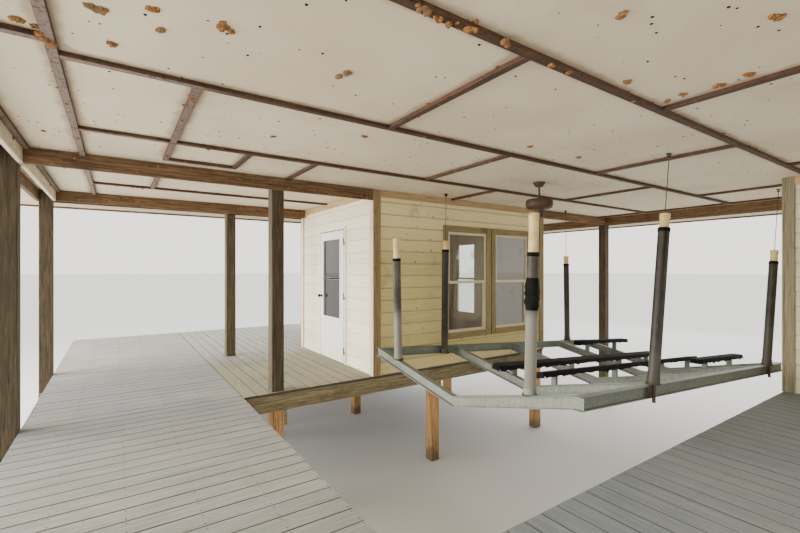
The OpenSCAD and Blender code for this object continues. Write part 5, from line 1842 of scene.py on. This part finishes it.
def overRoom(x, y):
    return coveredBy(x, y, storeLow, storeHigh) or coveredBy(x, y, cabinLow, cabinHigh)


def longSide(low, high):
    return 0 if high.x - low.x > high.y - low.y else 1


def nests():
    chance = random.Random(mudNests["seed"])
    places, turns = [], []
    sticks = [(low, high) for name in ("ceiling_battens_long", "ceiling_battens_short", "row_beams")
              for low, high, _ in islandsOf(name)]
    for pixel, count, reach in [(mudNests["bigPixel"], 11, mudNests["bigSize"])] + [
            (pixel, chance.choice((2, 3, 4, 5)), 0.75) for pixel in mudNests["smallPixels"]]:
        spot = ceilingSpot(pixel, ceilingLow.z)
        hung = [low.z for low, high in sticks if coveredBy(spot.x, spot.y, low, high, 0.03)]
        if hung:
            spot = ceilingSpot(pixel, min(hung))
        for _ in range(count):
            angle, away = chance.uniform(0, 6.3), chance.uniform(0, 0.03) * reach
            x, y = spot.x + away * math.cos(angle), spot.y + away * math.sin(angle)
            under = [low.z for low, high in sticks if coveredBy(x, y, low, high, 0.006)]
            places.append((x, y, min(under + [ceilingLow.z])))
            turns.append((0, 0, chance.uniform(0, 6.3)))
    scattered("mudNests", lumpOf("nestLump", 2, 0.55), (0.45, 1.15), 7, driedMud, places,
              turns)
    places, turns = [], []
    lengths = [max(high.x - low.x, high.y - low.y) for low, high in sticks]
    while len(places) < mudNests["dabs"]:
        low, high = chance.choices(sticks, lengths)[0]
        along = longSide(low, high)
        side = chance.choice((-1, 1))
        point = [0, 0, ceilingLow.z]
        point[along] = chance.uniform(low[along], high[along])
        flank = low[1 - along] if side < 0 else high[1 - along]
        point[1 - along] = flank + side * chance.uniform(-0.004, 0.012)
        if chance.random() < mudNests["underside"]:
            point[1 - along] = chance.uniform(low[1 - along], high[1 - along])
            point[2] = low.z
        if not overRoom(*point[:2]):
            places.append(tuple(point))
            turns.append((0, 0, chance.uniform(0, 6.3)))
    for low, high, _ in islandsOf("row_beams") + islandsOf("end_beams"):
        along = longSide(low, high)
        for _ in range(int((high[along] - low[along]) * mudNests["dabsOnBeams"])):
            side = -1 if chance.random() < mudNests["nearSide"] else 1
            point = [0, 0, chance.uniform(low.z + 0.02, high.z - 0.03)]
            point[along] = chance.uniform(low[along], high[along])
            point[1 - along] = low[1 - along] if side < 0 else high[1 - along]
            places.append(tuple(point))
            turns.append((side * math.pi / 2, 0, 0) if along == 0 else (0, -side * math.pi / 2, 0))
    scattered("mudDabs", lumpOf("dabLump", 1, 0.4), (0.15, 1.0), 17, driedMud, places, turns)
    dot = Solids(3)
    dot.lathe([(0, -0.0016), (0.0026, -0.0013), (0.0036, 0.0004), (0, 0.0004)], (0, 0, 0), sides=6)
    places, turns = [], []
    while len(places) < mudNests["spots"]:
        x, y = (chance.uniform(ceilingLow[k] + 0.2, ceilingHigh[k] - 0.2) for k in (0, 1))
        if not overRoom(x, y) and not any(coveredBy(x, y, low, high, 0.004) for low, high in sticks):
            places.append((x, y, ceilingLow.z))
            turns.append((0, 0, chance.uniform(0, 6.3)))
    scattered("darkSpots", helper("darkSpot", dot), (0.5, 2.4), 8, darkMetal, places, turns)


nests()
print("nests placed")

# The cabin's floor keeps its CAD node
nodes["cabin_floor"].data.materials.clear()
nodes["cabin_floor"].data.materials.append(deckFinishes[0])

for thing in helperObjects:
    bpy.data.objects.remove(thing)


# Plain floor and soft studio light
def makeFloor():
    mesh = bpy.data.meshes.new("paleFloor")
    reach, under = 300, -0.002
    mesh.from_pydata([(-reach, -reach, under), (reach, -reach, under), (reach, reach, under),
                      (-reach, reach, under)], [], [(0, 1, 2, 3)])
    mesh.materials.append(startMaterial("paleFloorPaint", 0.8, **{"Base Color": (0.75, 0.76, 0.77, 1)})[0])
    linkObject("paleFloor", mesh)


makeFloor()

studio = {"skyStrength": 2.05, "skyColor": (1.0, 0.972, 0.93, 1),
          "lights": [("openSideLight", (-13, 3.5, 4.4), (0, 0.5, 1.6), 8, 4000, (1.0, 0.95, 0.88)),
                     ("lakeSideLight", (17, 4, 6), (0, 1, 2.5), 9, 300, (0.95, 0.98, 1.0))]}


def makeLights():
    for name, place, aim, size, power, color in studio["lights"]:
        data = bpy.data.lights.new(name, "AREA")
        data.size, data.energy, data.color = size, power, color
        lamp = linkObject(name, data)
        lamp.location = place
        lamp.visible_camera = False
        lamp.rotation_euler = (Vector(aim) - Vector(place)).to_track_quat("-Z", "Y").to_euler()
    world = bpy.data.worlds.new("studioSky")
    bpy.context.scene.world = world
    world.use_nodes = True
    world.node_tree.nodes["Background"].inputs["Color"].default_value = studio["skyColor"]
    world.node_tree.nodes["Background"].inputs["Strength"].default_value = studio["skyStrength"]


makeLights()
